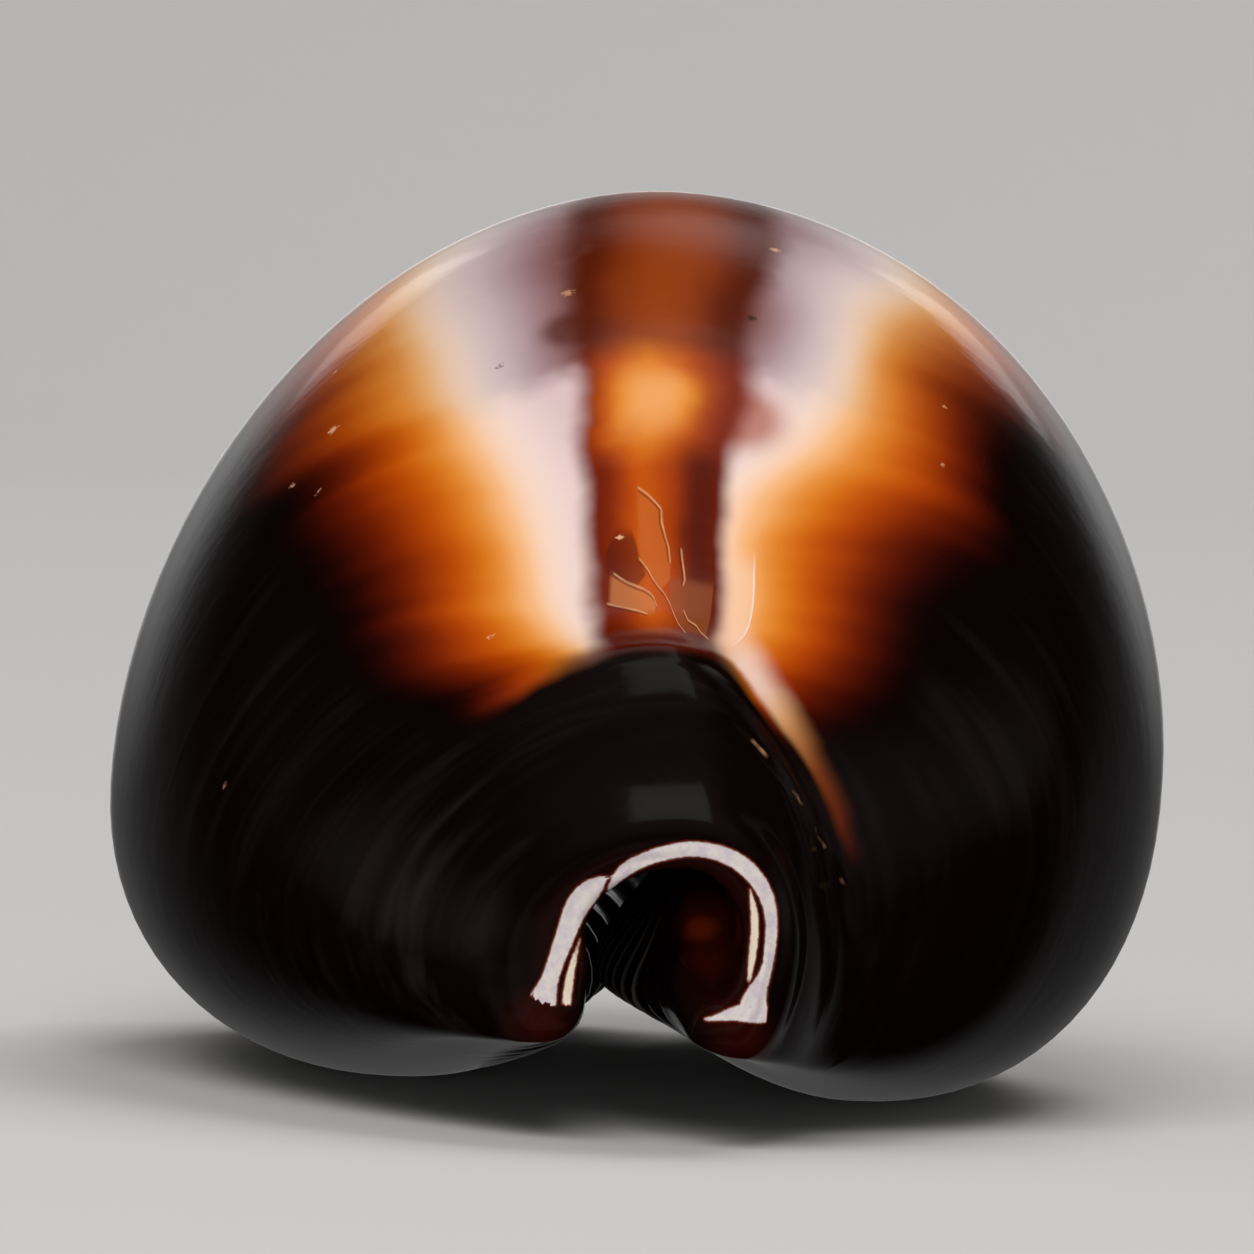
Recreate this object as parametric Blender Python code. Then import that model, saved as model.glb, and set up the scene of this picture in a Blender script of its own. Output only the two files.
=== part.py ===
"""Onyx cowrie shell, built as one closed solid.

A cowrie grows as a single rolled wall, so the shell is one loft of C-shaped sections across its length.
A section starts inside the outer lip (side A), turns round that lip's toothed edge, runs over the back,
turns round the columella's toothed edge (side B) and comes home along the inside. The slit between the
two lips is the aperture, and it runs out through a canal at each tip. Metres, +Z up, the front canal
towards -Y, resting on the base at Z = 0.
"""

import bpy
import bmesh
import numpy as np

# Driving dimensions, in metres
LENGTH = 0.042
WIDTH = 0.02594
HEIGHT = 0.02197
RIM_RADIUS = 0.0003
TOOTH_HEIGHT = 0.00045
TEETH = 20
TEETH_START = 0.0030
TEETH_END = 0.0390

# The canal rims lean back by this slope, which fades over this distance from the tips
RIM_LEAN = 0.25
LEAN_REACH = 0.0040

# Curves that run from tip to tip along the shell, drawn in millimetres on a shell 42 mm long. Each point
# is its distance from the front tip, then its place across (+X, towards the columella) and its height.
GUIDES = {
    "knee_a": ((0, -0.93, 3.7), (4, -1.0, 3.4), (9, -1.5, 3.1), (16, -1.9, 2.9), (23, -1.95, 2.8),
               (30, -1.45, 2.9), (36, -0.4, 3.4), (40, 0.7, 4.2), (42, 1.2, 4.6)),
    "lip_a": ((0, -0.97, 3.05), (4, -1.05, 2.65), (9, -1.45, 2.15), (16, -1.7, 1.6), (23, -1.7, 1.4),
              (30, -1.2, 1.5), (36, -0.2, 2.0), (40, 0.8, 3.1), (42, 1.3, 3.9)),
    "brim_a": ((0, -1.3, 2.5), (4, -1.75, 2.1), (9, -2.15, 1.55), (16, -2.4, 0.95), (23, -2.35, 0.62),
               (30, -1.85, 0.72), (36, -0.8, 1.35), (40, 0.4, 2.6), (42, 0.95, 3.55)),
    "lobe_a": ((0, -2.2, 2.3), (3, -3.9, 2.1), (7, -5.1, 1.55), (12, -5.6, 0.78), (17.5, -5.7, 0.1),
               (22, -5.7, -0.18), (27, -5.55, -0.17), (31, -5.2, 0.1), (36, -4.0, 0.85),
               (39.5, -2.4, 1.9), (42, -0.1, 3.3)),
    "side_a": ((0, -3.0, 4.2), (3, -6.2, 4.5), (6, -8.3, 5.0), (9, -9.9, 5.4), (12, -11.2, 5.8),
               (17, -12.5, 6.45), (23, -12.97, 6.75), (30, -11.9, 6.75), (35, -9.4, 6.6),
               (39, -5.8, 6.2), (42, -1.1, 5.6)),
    "crest": ((0, 1.25, 7.5), (0.8, 1.2, 8.15), (2.4, 1.0, 10.1), (3.2, 0.9, 10.62), (5, 0.55, 11.4),
              (6.6, 0.45, 11.85), (9, 0.35, 13.6), (12, 0.25, 16.4), (17, 0.15, 20.0),
              (23, 0.15, 21.97), (30, 0.3, 20.85), (35, 0.7, 17.4), (39, 1.4, 12.7), (42, 2.1, 7.8)),
    "side_b": ((0, 3.7, 4.9), (3, 4.75, 4.6), (5.3, 5.5, 4.8), (6.8, 6.9, 6.0), (9, 9.2, 7.2),
               (12, 10.9, 7.9), (17, 12.5, 8.25), (23, 12.97, 8.35), (30, 12.1, 8.25), (35, 10.0, 7.8),
               (39, 7.4, 6.9), (42, 5.0, 5.6)),
    "lobe_b": ((0, 2.7, 2.2), (3, 3.6, 1.9), (7, 4.5, 1.45), (12, 5.3, 0.78), (17.5, 5.6, 0.1),
               (22, 5.7, -0.18), (27, 5.7, -0.17), (31, 5.6, 0.1), (36, 5.35, 0.85), (39.5, 5, 1.9),
               (42, 4.1, 3.3)),
    "brim_b": ((0, 1.95, 2.32), (4, 1.5, 2.4), (9, 0.85, 2.5), (16, 0.22, 2.4), (23, 0.2, 2),
               (30, 0.75, 1.9), (36, 1.8, 2.1), (40, 2.8, 2.8), (42, 3.25, 3.6)),
    "lip_b": ((0, 1.45, 2.68), (4, 0.95, 2.9), (9, 0.15, 3), (16, -0.5, 2.95), (23, -0.55, 2.8),
              (30, 0, 2.8), (36, 1.1, 3), (40, 2.3, 3.6), (42, 2.9, 4.1)),
    "knee_b": ((0, 1.7, 3.15), (2, 1.28, 4.0), (4, 1.05, 4.35), (9, 0.38, 4.15), (16, -0.28, 3.95),
               (23, -0.35, 3.8), (30, 0.2, 3.7), (36, 1.3, 3.9), (40, 2.5, 4.3), (42, 2.98, 4.6)),
    "floor_b": ((0, 2.12, 3.45), (2, 1.95, 3.75), (3.6, 1.85, 4.1), (6, 1.6, 5.6), (8, 1.7, 6.25),
                (13, 2.7, 6.3), (18, 3.4, 6.1), (24, 3.2, 6.2), (30, 2.6, 6.5), (35, 2.6, 6.1),
                (39, 2.9, 5.3), (42, 3.05, 5.1)),
    "inside_b": ((0, 2.62, 4.8), (4, 2.6, 5.6), (7, 3.9, 7.3), (10, 6.6, 8.6), (13, 9.1, 9.0),
                 (17, 10.4, 9.2), (23, 11.05, 9.4), (30, 10.2, 9.2), (35, 7.8, 8.4), (39, 4.9, 7.0),
                 (42, 3.1, 5.6)),
    "roof": ((0, 1.3, 6.35), (4, 0.8, 7.9), (7, 0.5, 9.9), (10, 0.5, 12.7), (13, 0.6, 15.5),
             (17, 0.75, 18.3), (23, 0.8, 20.4), (30, 0.8, 19.2), (35, 0.95, 15.5), (39, 1.5, 10.4),
             (42, 2.1, 6.6)),
    "inside_a": ((0, -0.99, 4.85), (4, -2.0, 5.5), (7, -4.5, 6.2), (10, -7.3, 6.9), (13, -9.1, 7.4),
                 (17, -10.4, 7.9), (23, -10.95, 8.2), (30, -9.9, 8.2), (35, -7.2, 7.8),
                 (39, -3.2, 6.8), (42, 1.1, 5.6)),
    "floor_a": ((0, -0.91, 4.25), (4, -1.4, 4.2), (9, -3.4, 3.9), (16, -5.1, 3.5), (23, -5.3, 3.4),
                (30, -4.8, 3.5), (35, -3.4, 3.9), (39, -0.6, 4.7), (42, 1.15, 5.1)),
}
DRAWN_LENGTH = 42.0

# Roundness of the quarter ovals that join the guides, in the same form: 2 is an ellipse, less is flatter
# and more is squarer
ROUNDNESS = {
    "corner_a": ((0, 1.9), (6, 2.0), (12, 2.1), (23, 2.13), (35, 2.1), (42, 1.9)),
    "haunch_a": ((0, 2.0), (3, 1.75), (7, 1.7), (14, 1.82), (20, 1.89), (27, 1.9), (42, 2.0)),
    "haunch_b": ((0, 2.0), (3, 1.8), (6, 1.7), (10, 1.8), (16, 1.94), (23, 1.99), (42, 2.0)),
    "corner_b": ((0, 1.9), (6, 2.0), (12, 2.15), (23, 2.25), (35, 2.1), (42, 1.9)),
    "heel_a": ((0, 1.15), (4, 1.6), (9, 2.0), (33, 2.0), (38, 1.6), (42, 1.15)),
    "heel_b": ((0, 2.0), (16, 2.0), (33, 2.0), (38, 1.6), (42, 1.15)),
}

# The guides that each lip turns through, with the mesh sides up to the next one and the height of the
# teeth there. A share below none ends the teeth short of that guide.
LIP_A = (
    ("floor_a", 2, 0.0), ("knee_a", 2, 0.5), ("lip_a", 2, 1.0), ("brim_a", 4, 0.5), ("lobe_a", 0, -1.0),
)
LIP_B = (
    ("lobe_b", 5, -1.0), ("brim_b", 2, 0.5), ("lip_b", 2, 1.0), ("knee_b", 2, 0.5), ("floor_b", 0, 0.0),
)
CORNER_SIDES = 7
BACK_SIDES = 11
INSIDE_SIDES = 4
TOOTH_SIDES = 2

# The sections nearest to each tip, as multiples of the rim's radius
RIM_STEPS = (0.0, 0.3, 1.0, 3.0, 6.0, 8.0)

# The teeth grow to their full height over this share of the toothed length at each end of it
TEETH_FADE = 0.125

# The lips are thin, so their rims are less rounded: by this share at a tooth's full height
LIP_SHARE = 0.6


def smooth_curve(keys, values, at, end_slopes=None):
    """Cubic curve through (keys, values), read at the points `at`. Its ends are free or have given slopes."""
    keys = np.asarray(keys, float)
    values = np.asarray(values, float)
    gap = np.diff(keys)
    rise = np.diff(values, axis=0) / gap[:, None]
    system = np.eye(len(keys))
    right = np.zeros(values.shape)
    for i in range(1, len(keys) - 1):
        system[i, i - 1:i + 2] = gap[i - 1], 2 * (gap[i - 1] + gap[i]), gap[i]
        right[i] = 6 * (rise[i] - rise[i - 1])
    if end_slopes is not None:
        system[0, :2] = 2 * gap[0], gap[0]
        right[0] = 6 * (rise[0] - end_slopes[0])
        system[-1, -2:] = gap[-1], 2 * gap[-1]
        right[-1] = 6 * (end_slopes[1] - rise[-1])
    bend = np.linalg.solve(system, right)
    i = np.clip(np.searchsorted(keys, at) - 1, 0, len(keys) - 2)
    width = gap[i][:, None]
    passed = (at - keys[i])[:, None]
    left = width - passed
    cubic = (bend[i] * left ** 3 + bend[i + 1] * passed ** 3) / (6 * width)
    from_start = (values[i] / width - bend[i] * width / 6) * left
    from_end = (values[i + 1] / width - bend[i + 1] * width / 6) * passed
    return cubic + from_start + from_end


def read_guides(along):
    """Every guide and roundness at each of the distances from the front tip, by name."""
    found = {}
    for name, points in {**GUIDES, **ROUNDNESS}.items():
        points = np.array(points)
        found[name] = smooth_curve(points[:, 0], points[:, 1:], along)
    return found


def quarter(start, end, roundness, sides, leaves_upright):
    """Quarter of a squared oval from start up to, but without, end: upright at one and level at the other."""
    turn = np.arange(sides) / sides * np.pi / 2
    slow = 1 - np.cos(turn) ** (2 / roundness)
    quick = np.sin(turn) ** (2 / roundness)
    across, up = (slow, quick) if leaves_upright else (quick, slow)
    return start + (end - start) * np.column_stack([across, up])


def lip(guides, i, turns, end_slopes):
    """One lip of section i, from its first guide up to, but without, its last, and the share of its teeth."""
    points = np.array([guides[name][i] for name, _, _ in turns])
    keys = np.concatenate([[0], np.cumsum(np.linalg.norm(np.diff(points, axis=0), axis=1))])
    shares = [share for _, _, share in turns]
    steps = [n + step / sides for n, (_, sides, _) in enumerate(turns[:-1]) for step in range(sides)]
    at = np.interp(steps, range(len(turns)), keys)
    curve = smooth_curve(keys, points, at, np.array(end_slopes, float))
    return curve, np.clip(np.interp(at, keys, shares), 0, 1)


def heel_slope(start, end, roundness):
    """Direction of travel where a lip meets the chamber's floor: level, or straight on where the heel is flat."""
    straight = (end - start) / np.linalg.norm(end - start)
    level = np.clip(roundness - 1, 0, 1)
    return level * np.array([1.0, 0.0]) + (1 - level) * straight


def section(guides, i):
    """The closed outline of section i as (across, up), and the share of the teeth at each of its points."""
    g = {name: values[i] for name, values in guides.items()}
    slope_a = heel_slope(g["floor_a"], g["knee_a"], g["heel_a"][0])
    slope_b = heel_slope(g["knee_b"], g["floor_b"], g["heel_b"][0])
    lip_a, teeth_a = lip(guides, i, LIP_A, (slope_a, (-1, 0)))
    lip_b, teeth_b = lip(guides, i, LIP_B, ((-1, 0), slope_b))
    over = np.concatenate([
        quarter(g["lobe_a"], g["side_a"], g["corner_a"][0], CORNER_SIDES, False),
        quarter(g["side_a"], g["crest"], g["haunch_a"][0], BACK_SIDES, True),
        quarter(g["crest"], g["side_b"], g["haunch_b"][0], BACK_SIDES, False),
        quarter(g["side_b"], g["lobe_b"], g["corner_b"][0], CORNER_SIDES, True),
    ])
    home = np.concatenate([
        quarter(g["floor_b"], g["inside_b"], g["heel_b"][0], INSIDE_SIDES, False),
        quarter(g["inside_b"], g["roof"], g["haunch_b"][0], INSIDE_SIDES, True),
        quarter(g["roof"], g["inside_a"], g["haunch_a"][0], INSIDE_SIDES, False),
        quarter(g["inside_a"], g["floor_a"], g["heel_a"][0], INSIDE_SIDES, True),
    ])
    outline = np.concatenate([lip_a, over, lip_b, home])
    teeth = np.concatenate([teeth_a, np.zeros(len(over)), teeth_b, np.zeros(len(home))])
    return outline, teeth


def outward(outline):
    """Unit vectors in the section's plane that point out of the shell's wall."""
    along = np.roll(outline, -1, axis=0) - np.roll(outline, 1, axis=0)
    along /= np.linalg.norm(along, axis=1)[:, None]
    return np.column_stack([-along[:, 1], along[:, 0]])


def tooth_wave(along):
    """Height of the tooth ridges at this distance from the tip, from -1 in a groove to 1 on a crest."""
    share = (along - TEETH_START) / (TEETH_END - TEETH_START)
    fade = np.clip(np.minimum(share, 1 - share) / TEETH_FADE, 0, 1)
    return -np.cos(2 * np.pi * TEETH * share) * fade


def station_distances():
    """Distances of the sections from the front tip: close together where the rims round over."""
    rim = np.array(RIM_STEPS) * RIM_RADIUS
    toothed = np.linspace(TEETH_START, TEETH_END, TEETH * TOOTH_SIDES + 1)
    return np.concatenate([rim, toothed, (LENGTH - rim)[::-1]])


def shell_points():
    """Points of the shell as an array of (section, place in the section, xyz)."""
    millimetre = LENGTH / DRAWN_LENGTH
    distances = station_distances()
    guides = read_guides(distances / millimetre)
    rings = []
    for i, along in enumerate(distances):
        outline, teeth = section(guides, i)
        outline *= millimetre
        from_tip = min(along, LENGTH - along)
        rounding = RIM_RADIUS - np.sqrt(RIM_RADIUS ** 2 - max(0.0, RIM_RADIUS - from_tip) ** 2)
        lift = tooth_wave(along) * teeth * TOOTH_HEIGHT / 2 - rounding * (1 - LIP_SHARE * teeth)
        outline += outward(outline) * lift[:, None]
        across, up = outline[:, 0], np.maximum(outline[:, 1], 0.0)
        lean = RIM_LEAN * np.exp(-(from_tip / LEAN_REACH) ** 2) * (up - up.min())
        inward = lean if along < LENGTH / 2 else -lean
        rings.append(np.column_stack([across, along + inward, up]))
    points = np.array(rings)
    low, high = points.min(axis=(0, 1)), points.max(axis=(0, 1))
    size = np.array([WIDTH, LENGTH, HEIGHT])
    return (points - low) / (high - low) * size - size * (0.5, 0.5, 0)


def enamel_material():
    """Near-black brown enamel with a hard polish."""
    material = bpy.data.materials.new("onyx_enamel")
    material.use_nodes = True
    shader = material.node_tree.nodes["Principled BSDF"]
    shader.inputs["Base Color"].default_value = (0.045, 0.018, 0.010, 1.0)
    shader.inputs["Roughness"].default_value = 0.12
    shader.inputs["Metallic"].default_value = 0.0
    return material


def build_shell(collection):
    """Joins the sections with quads and caps the rim of each canal, to make one closed solid."""
    bm = bmesh.new()
    rings = [[bm.verts.new(point) for point in ring] for ring in shell_points()]
    count = len(rings[0])
    for ring, following in zip(rings, rings[1:]):
        for i in range(count):
            j = (i + 1) % count
            bm.faces.new((ring[i], ring[j], following[j], following[i]))
    bm.faces.new(rings[0])
    bm.faces.new(rings[-1])
    bmesh.ops.recalc_face_normals(bm, faces=bm.faces)
    mesh = bpy.data.meshes.new("shell")
    bm.to_mesh(mesh)
    bm.free()
    mesh.shade_smooth()
    mesh.materials.append(enamel_material())
    collection.objects.link(bpy.data.objects.new("shell", mesh))


def main():
    for old in list(bpy.data.objects):
        bpy.data.objects.remove(old, do_unlink=True)
    collection = bpy.data.collections.new("onyx_cowrie_shell")
    bpy.context.scene.collection.children.link(collection)
    build_shell(collection)


if __name__ == "__main__":
    main()
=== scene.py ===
"""An onyx cowrie shell on a pale studio floor, for Blender 4.5.

A cowrie grows as one rolled wall, so the shell is one mesh: a fine loft of C-shaped sections along its
length, with toothed lips, a callus over the front snout and a rim round each canal. The mesh carries fields
of its own, such as the distance along the shell and the turn round it, and the enamel is painted from them.
"""

import math

import bpy
import numpy as np
from bpy.props import FloatProperty, FloatVectorProperty, IntProperty, PointerProperty
from bpy.types import Operator, Panel, PropertyGroup
from mathutils import Matrix, Vector


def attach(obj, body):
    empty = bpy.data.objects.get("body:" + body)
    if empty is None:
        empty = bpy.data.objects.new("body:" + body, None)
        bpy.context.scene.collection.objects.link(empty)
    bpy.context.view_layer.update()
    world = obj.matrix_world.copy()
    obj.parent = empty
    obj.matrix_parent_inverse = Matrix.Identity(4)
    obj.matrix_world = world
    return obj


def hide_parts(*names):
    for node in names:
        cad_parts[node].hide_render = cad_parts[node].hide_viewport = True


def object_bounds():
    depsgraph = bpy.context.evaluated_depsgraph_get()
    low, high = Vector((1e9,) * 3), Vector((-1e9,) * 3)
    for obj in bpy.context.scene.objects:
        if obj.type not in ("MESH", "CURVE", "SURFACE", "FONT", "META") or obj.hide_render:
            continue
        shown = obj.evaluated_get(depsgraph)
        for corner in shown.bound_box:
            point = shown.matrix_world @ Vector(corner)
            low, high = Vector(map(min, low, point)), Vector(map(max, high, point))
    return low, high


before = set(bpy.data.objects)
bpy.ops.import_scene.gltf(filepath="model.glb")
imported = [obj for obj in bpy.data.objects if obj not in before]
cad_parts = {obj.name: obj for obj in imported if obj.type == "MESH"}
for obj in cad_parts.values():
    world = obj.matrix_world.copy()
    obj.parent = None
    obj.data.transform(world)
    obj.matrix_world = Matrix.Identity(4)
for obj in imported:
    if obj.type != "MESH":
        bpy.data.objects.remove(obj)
CAD_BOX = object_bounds()

bl_info = {
    "name": "Onyx Cowrie Shell",
    "version": (1, 0, 0),
    "blender": (4, 5, 0),
    "location": "3D View > Sidebar > Cowrie",
    "description": "Grows a polished onyx cowrie shell and sets it on a pale studio floor",
    "category": "Add Mesh",
}

MILLIMETRE = 0.001

# Curves that run from tip to tip along the shell, drawn in millimetres on a shell 42 mm long. Each point
# is its distance from the front tip, then its place across (+X, towards the columella) and its height.
GUIDES = {
    "knee_a": ((0, -0.93, 3.7), (4, -1.0, 3.4), (9, -1.5, 3.1), (16, -1.9, 2.9), (23, -1.95, 2.8),
               (30, -1.45, 2.9), (36, -0.4, 3.4), (40, 0.7, 4.2), (42, 1.2, 4.6)),
    "lip_a": ((0, -0.97, 3.05), (4, -1.05, 2.65), (9, -1.45, 2.15), (16, -1.7, 1.6), (23, -1.7, 1.4),
              (30, -1.2, 1.5), (36, -0.2, 2.0), (40, 0.8, 3.1), (42, 1.3, 3.9)),
    "brim_a": ((0, -1.3, 2.5), (4, -1.75, 2.1), (9, -2.15, 1.55), (16, -2.4, 0.95), (23, -2.35, 0.62),
               (30, -1.85, 0.72), (36, -0.8, 1.35), (40, 0.4, 2.6), (42, 0.95, 3.55)),
    "lobe_a": ((0, -2.2, 2.3), (3, -3.9, 2.1), (7, -5.1, 1.55), (12, -5.6, 0.78), (17.5, -5.7, 0.1),
               (22, -5.7, -0.18), (27, -5.55, -0.17), (31, -5.2, 0.1), (36, -4.0, 0.85),
               (39.5, -2.4, 1.9), (42, -0.1, 3.3)),
    "side_a": ((0, -3.0, 4.2), (3, -6.2, 4.5), (6, -8.3, 5.0), (9, -9.9, 5.4), (12, -11.2, 5.8),
               (17, -12.5, 6.45), (23, -12.97, 6.75), (30, -11.9, 6.75), (35, -9.4, 6.6),
               (39, -5.8, 6.2), (42, -1.1, 5.6)),
    "crest": ((0, 1.25, 7.5), (0.8, 1.2, 8.15), (2.4, 1.0, 10.1), (3.2, 0.9, 10.62), (5, 0.55, 11.4),
              (6.6, 0.45, 11.85), (9, 0.35, 13.6), (12, 0.25, 16.4), (17, 0.15, 20.0),
              (23, 0.15, 21.97), (30, 0.3, 20.85), (35, 0.7, 17.4), (39, 1.4, 12.7), (42, 2.1, 7.8)),
    "side_b": ((0, 3.7, 4.9), (3, 4.75, 4.6), (5.3, 5.5, 4.8), (6.8, 6.9, 6.0), (9, 9.2, 7.2),
               (12, 10.9, 7.9), (17, 12.5, 8.25), (23, 12.97, 8.35), (30, 12.1, 8.25), (35, 10.0, 7.8),
               (39, 7.4, 6.9), (42, 5.0, 5.6)),
    "lobe_b": ((0, 2.7, 2.2), (3, 3.6, 1.9), (7, 4.5, 1.45), (12, 5.3, 0.78), (17.5, 5.6, 0.1),
               (22, 5.7, -0.18), (27, 5.7, -0.17), (31, 5.6, 0.1), (36, 5.35, 0.85), (39.5, 5, 1.9),
               (42, 4.1, 3.3)),
    "brim_b": ((0, 1.95, 2.32), (4, 1.5, 2.4), (9, 0.85, 2.5), (16, 0.22, 2.4), (23, 0.2, 2),
               (30, 0.75, 1.9), (36, 1.8, 2.1), (40, 2.8, 2.8), (42, 3.25, 3.6)),
    "lip_b": ((0, 1.45, 2.68), (4, 0.95, 2.9), (9, 0.15, 3), (16, -0.5, 2.95), (23, -0.55, 2.8),
              (30, 0, 2.8), (36, 1.1, 3), (40, 2.3, 3.6), (42, 2.9, 4.1)),
    "knee_b": ((0, 1.7, 3.15), (2, 1.28, 4.0), (4, 1.05, 4.35), (9, 0.38, 4.15), (16, -0.28, 3.95),
               (23, -0.35, 3.8), (30, 0.2, 3.7), (36, 1.3, 3.9), (40, 2.5, 4.3), (42, 2.98, 4.6)),
    "floor_b": ((0, 2.12, 3.45), (2, 1.95, 3.75), (3.6, 1.85, 4.1), (6, 1.6, 5.6), (8, 1.7, 6.25),
                (13, 2.7, 6.3), (18, 3.4, 6.1), (24, 3.2, 6.2), (30, 2.6, 6.5), (35, 2.6, 6.1),
                (39, 2.9, 5.3), (42, 3.05, 5.1)),
    "inside_b": ((0, 2.62, 4.8), (4, 2.6, 5.6), (7, 3.9, 7.3), (10, 6.6, 8.6), (13, 9.1, 9.0),
                 (17, 10.4, 9.2), (23, 11.05, 9.4), (30, 10.2, 9.2), (35, 7.8, 8.4), (39, 4.9, 7.0),
                 (42, 3.1, 5.6)),
    "roof": ((0, 1.3, 6.35), (4, 0.8, 7.9), (7, 0.5, 9.9), (10, 0.5, 12.7), (13, 0.6, 15.5),
             (17, 0.75, 18.3), (23, 0.8, 20.4), (30, 0.8, 19.2), (35, 0.95, 15.5), (39, 1.5, 10.4),
             (42, 2.1, 6.6)),
    "inside_a": ((0, -0.99, 4.85), (4, -2.0, 5.5), (7, -4.5, 6.2), (10, -7.3, 6.9), (13, -9.1, 7.4),
                 (17, -10.4, 7.9), (23, -10.95, 8.2), (30, -9.9, 8.2), (35, -7.2, 7.8),
                 (39, -3.2, 6.8), (42, 1.1, 5.6)),
    "floor_a": ((0, -0.91, 4.25), (4, -1.4, 4.2), (9, -3.4, 3.9), (16, -5.1, 3.5), (23, -5.3, 3.4),
                (30, -4.8, 3.5), (35, -3.4, 3.9), (39, -0.6, 4.7), (42, 1.15, 5.1)),
}
DRAWN_LENGTH = 42.0

# Roundness of the quarter ovals that join the guides, in the same form: 2 is an ellipse, less is flatter
# and more is squarer
ROUNDNESS = {
    "corner_a": ((0, 1.9), (6, 2.0), (12, 2.1), (23, 2.13), (35, 2.1), (42, 1.9)),
    "haunch_a": ((0, 2.0), (3, 1.75), (7, 1.7), (14, 1.82), (20, 1.89), (27, 1.9), (42, 2.0)),
    "haunch_b": ((0, 2.0), (3, 1.8), (6, 1.7), (10, 1.8), (16, 1.94), (23, 1.99), (42, 2.0)),
    "corner_b": ((0, 1.9), (6, 2.0), (12, 2.15), (23, 2.25), (35, 2.1), (42, 1.9)),
    "heel_a": ((0, 1.15), (4, 1.6), (9, 2.0), (33, 2.0), (38, 1.6), (42, 1.15)),
    "heel_b": ((0, 2.0), (16, 2.0), (33, 2.0), (38, 1.6), (42, 1.15)),
}

# The guides in their order round a section, each with the mesh sides up to the next one and its turn: 0 at
# the crest, 20 where a side is widest, 40 where it stands, 46 at a lip's edge, and back to 0 at the roof.
ROUND = (
    ("floor_a", 8, -40), ("knee_a", 5, -44), ("lip_a", 5, -46), ("brim_a", 12, -44), ("lobe_a", 20, -40),
    ("side_a", 30, -20), ("crest", 30, 0), ("side_b", 20, 20), ("lobe_b", 12, 40), ("brim_b", 5, 44),
    ("lip_b", 5, 46), ("knee_b", 8, 44), ("floor_b", 22, 40), ("inside_b", 32, 20), ("roof", 32, 0),
    ("inside_a", 22, -20),
)
SIDES = {name: sides for name, sides, _ in ROUND}
LIP_A_EDGE = SIDES["floor_a"] + SIDES["knee_a"]

# Sections across the shell: round each rim, over the front stretch with its finer detail, and behind it
RIM_SECTIONS = 9
FRONT_SECTIONS = 130
REAR_SECTIONS = 198
FRONT_STRETCH = 12.0

# Points on either side over which the direction out of the wall is evened
OUTWARD_REACH = 5

# Rows of faces that close a canal's rim, and the width of rim from which its swell is full
RIM_ROWS = 16
FULL_SWELL_WIDTH = 0.8

# The height of the teeth at the guides of each lip. A share below none ends the teeth short of that guide.
TEETH_A = {"floor_a": 0.0, "knee_a": 0.5, "lip_a": 1.0, "brim_a": 0.5, "lobe_a": -1.0}
TEETH_B = {"lobe_b": -1.0, "brim_b": 0.5, "lip_b": 1.0, "knee_b": 0.5, "floor_b": 0.0}

# Distance from the front tip, in millimetres, of the callus's edge and of the crease on the snout's right
# flank, at turns round the shell
CALLUS_EDGE = ((-46, 3.2), (-20, 3.4), (-12, 3.8), (-8, 4.2), (-5, 4.5), (-2, 4.9), (2, 5.1), (4, 5.5),
               (6, 5.0), (8, 4.7), (12, 4.7), (16, 5.0), (20, 5.5), (27, 6.0), (46, 6.2))
CREASE = ((-46, 1.0), (0, 2.0), (3, 2.5), (9, 2.87), (12.7, 3.84), (16.2, 4.72), (20.3, 5.3), (27, 5.95),
          (46, 6.2))

# Distances past these two lines over which the callus thins out and the crease's step falls, the turns over
# which the callus thins out down the sides, and the turns over which the crease begins and ends
CALLUS_FALL = (-0.6, 0.3)
CREASE_FALL = (-0.10, 0.14)
CALLUS_SIDES = (10, 24)
CREASE_START = (1, 8)
CREASE_END = (28, 38)

# Distances from the front tip over which the callus and the crease rise out of the rim
RELIEF_START = (0.4, 1.6)

# Turns at which the pale bands end and at which the flanks have gone dark, on each side, at distances from
# the front tip
PALE_EDGE_A = ((5.5, 3.7), (6.5, 4.0), (8, 4.4), (10, 4.65), (12.5, 5.4), (14, 5.8), (16, 6.1), (18, 6.5),
               (20, 6.4), (24, 6.0), (30, 6.0), (37, 4.5))
DARK_EDGE_A = ((5.5, 8.1), (6.5, 8.8), (8, 9.0), (10, 9.5), (12.5, 10.0), (14, 10.1), (16, 10.6), (18, 11.2),
               (24, 11.8), (32, 11.0), (37, 8.0))
PALE_EDGE_B = ((5.5, 3.9), (6.5, 3.4), (8, 3.2), (10, 2.7), (11.3, 3.6), (12.5, 4.6), (14, 5.0), (16, 5.1),
               (18, 5.3), (20, 5.9), (24, 5.8), (30, 5.6), (37, 4.5))
DARK_EDGE_B = ((5.5, 9.0), (6.5, 9.4), (8, 9.2), (10, 8.2), (11.3, 9.0), (12.5, 9.9), (14, 9.5), (16, 8.9),
               (18, 10.2), (24, 11.5), (32, 11.0), (37, 8.0))

# Turns at which the band down the middle of the back begins and ends, at distances from the front tip
BAND_EDGE_A = ((5, -3.1), (6, -3.0), (8, -2.9), (10, -2.75), (14, -2.65), (18, -2.6), (24, -2.5), (36, -2.6))
BAND_EDGE_B = ((5, 4.3), (6, 3.8), (7, 3.3), (8.5, 2.7), (11, 2.25), (13.2, 2.5), (15, 2.2), (17, 2.5),
               (24, 2.4), (36, 2.8))

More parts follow.
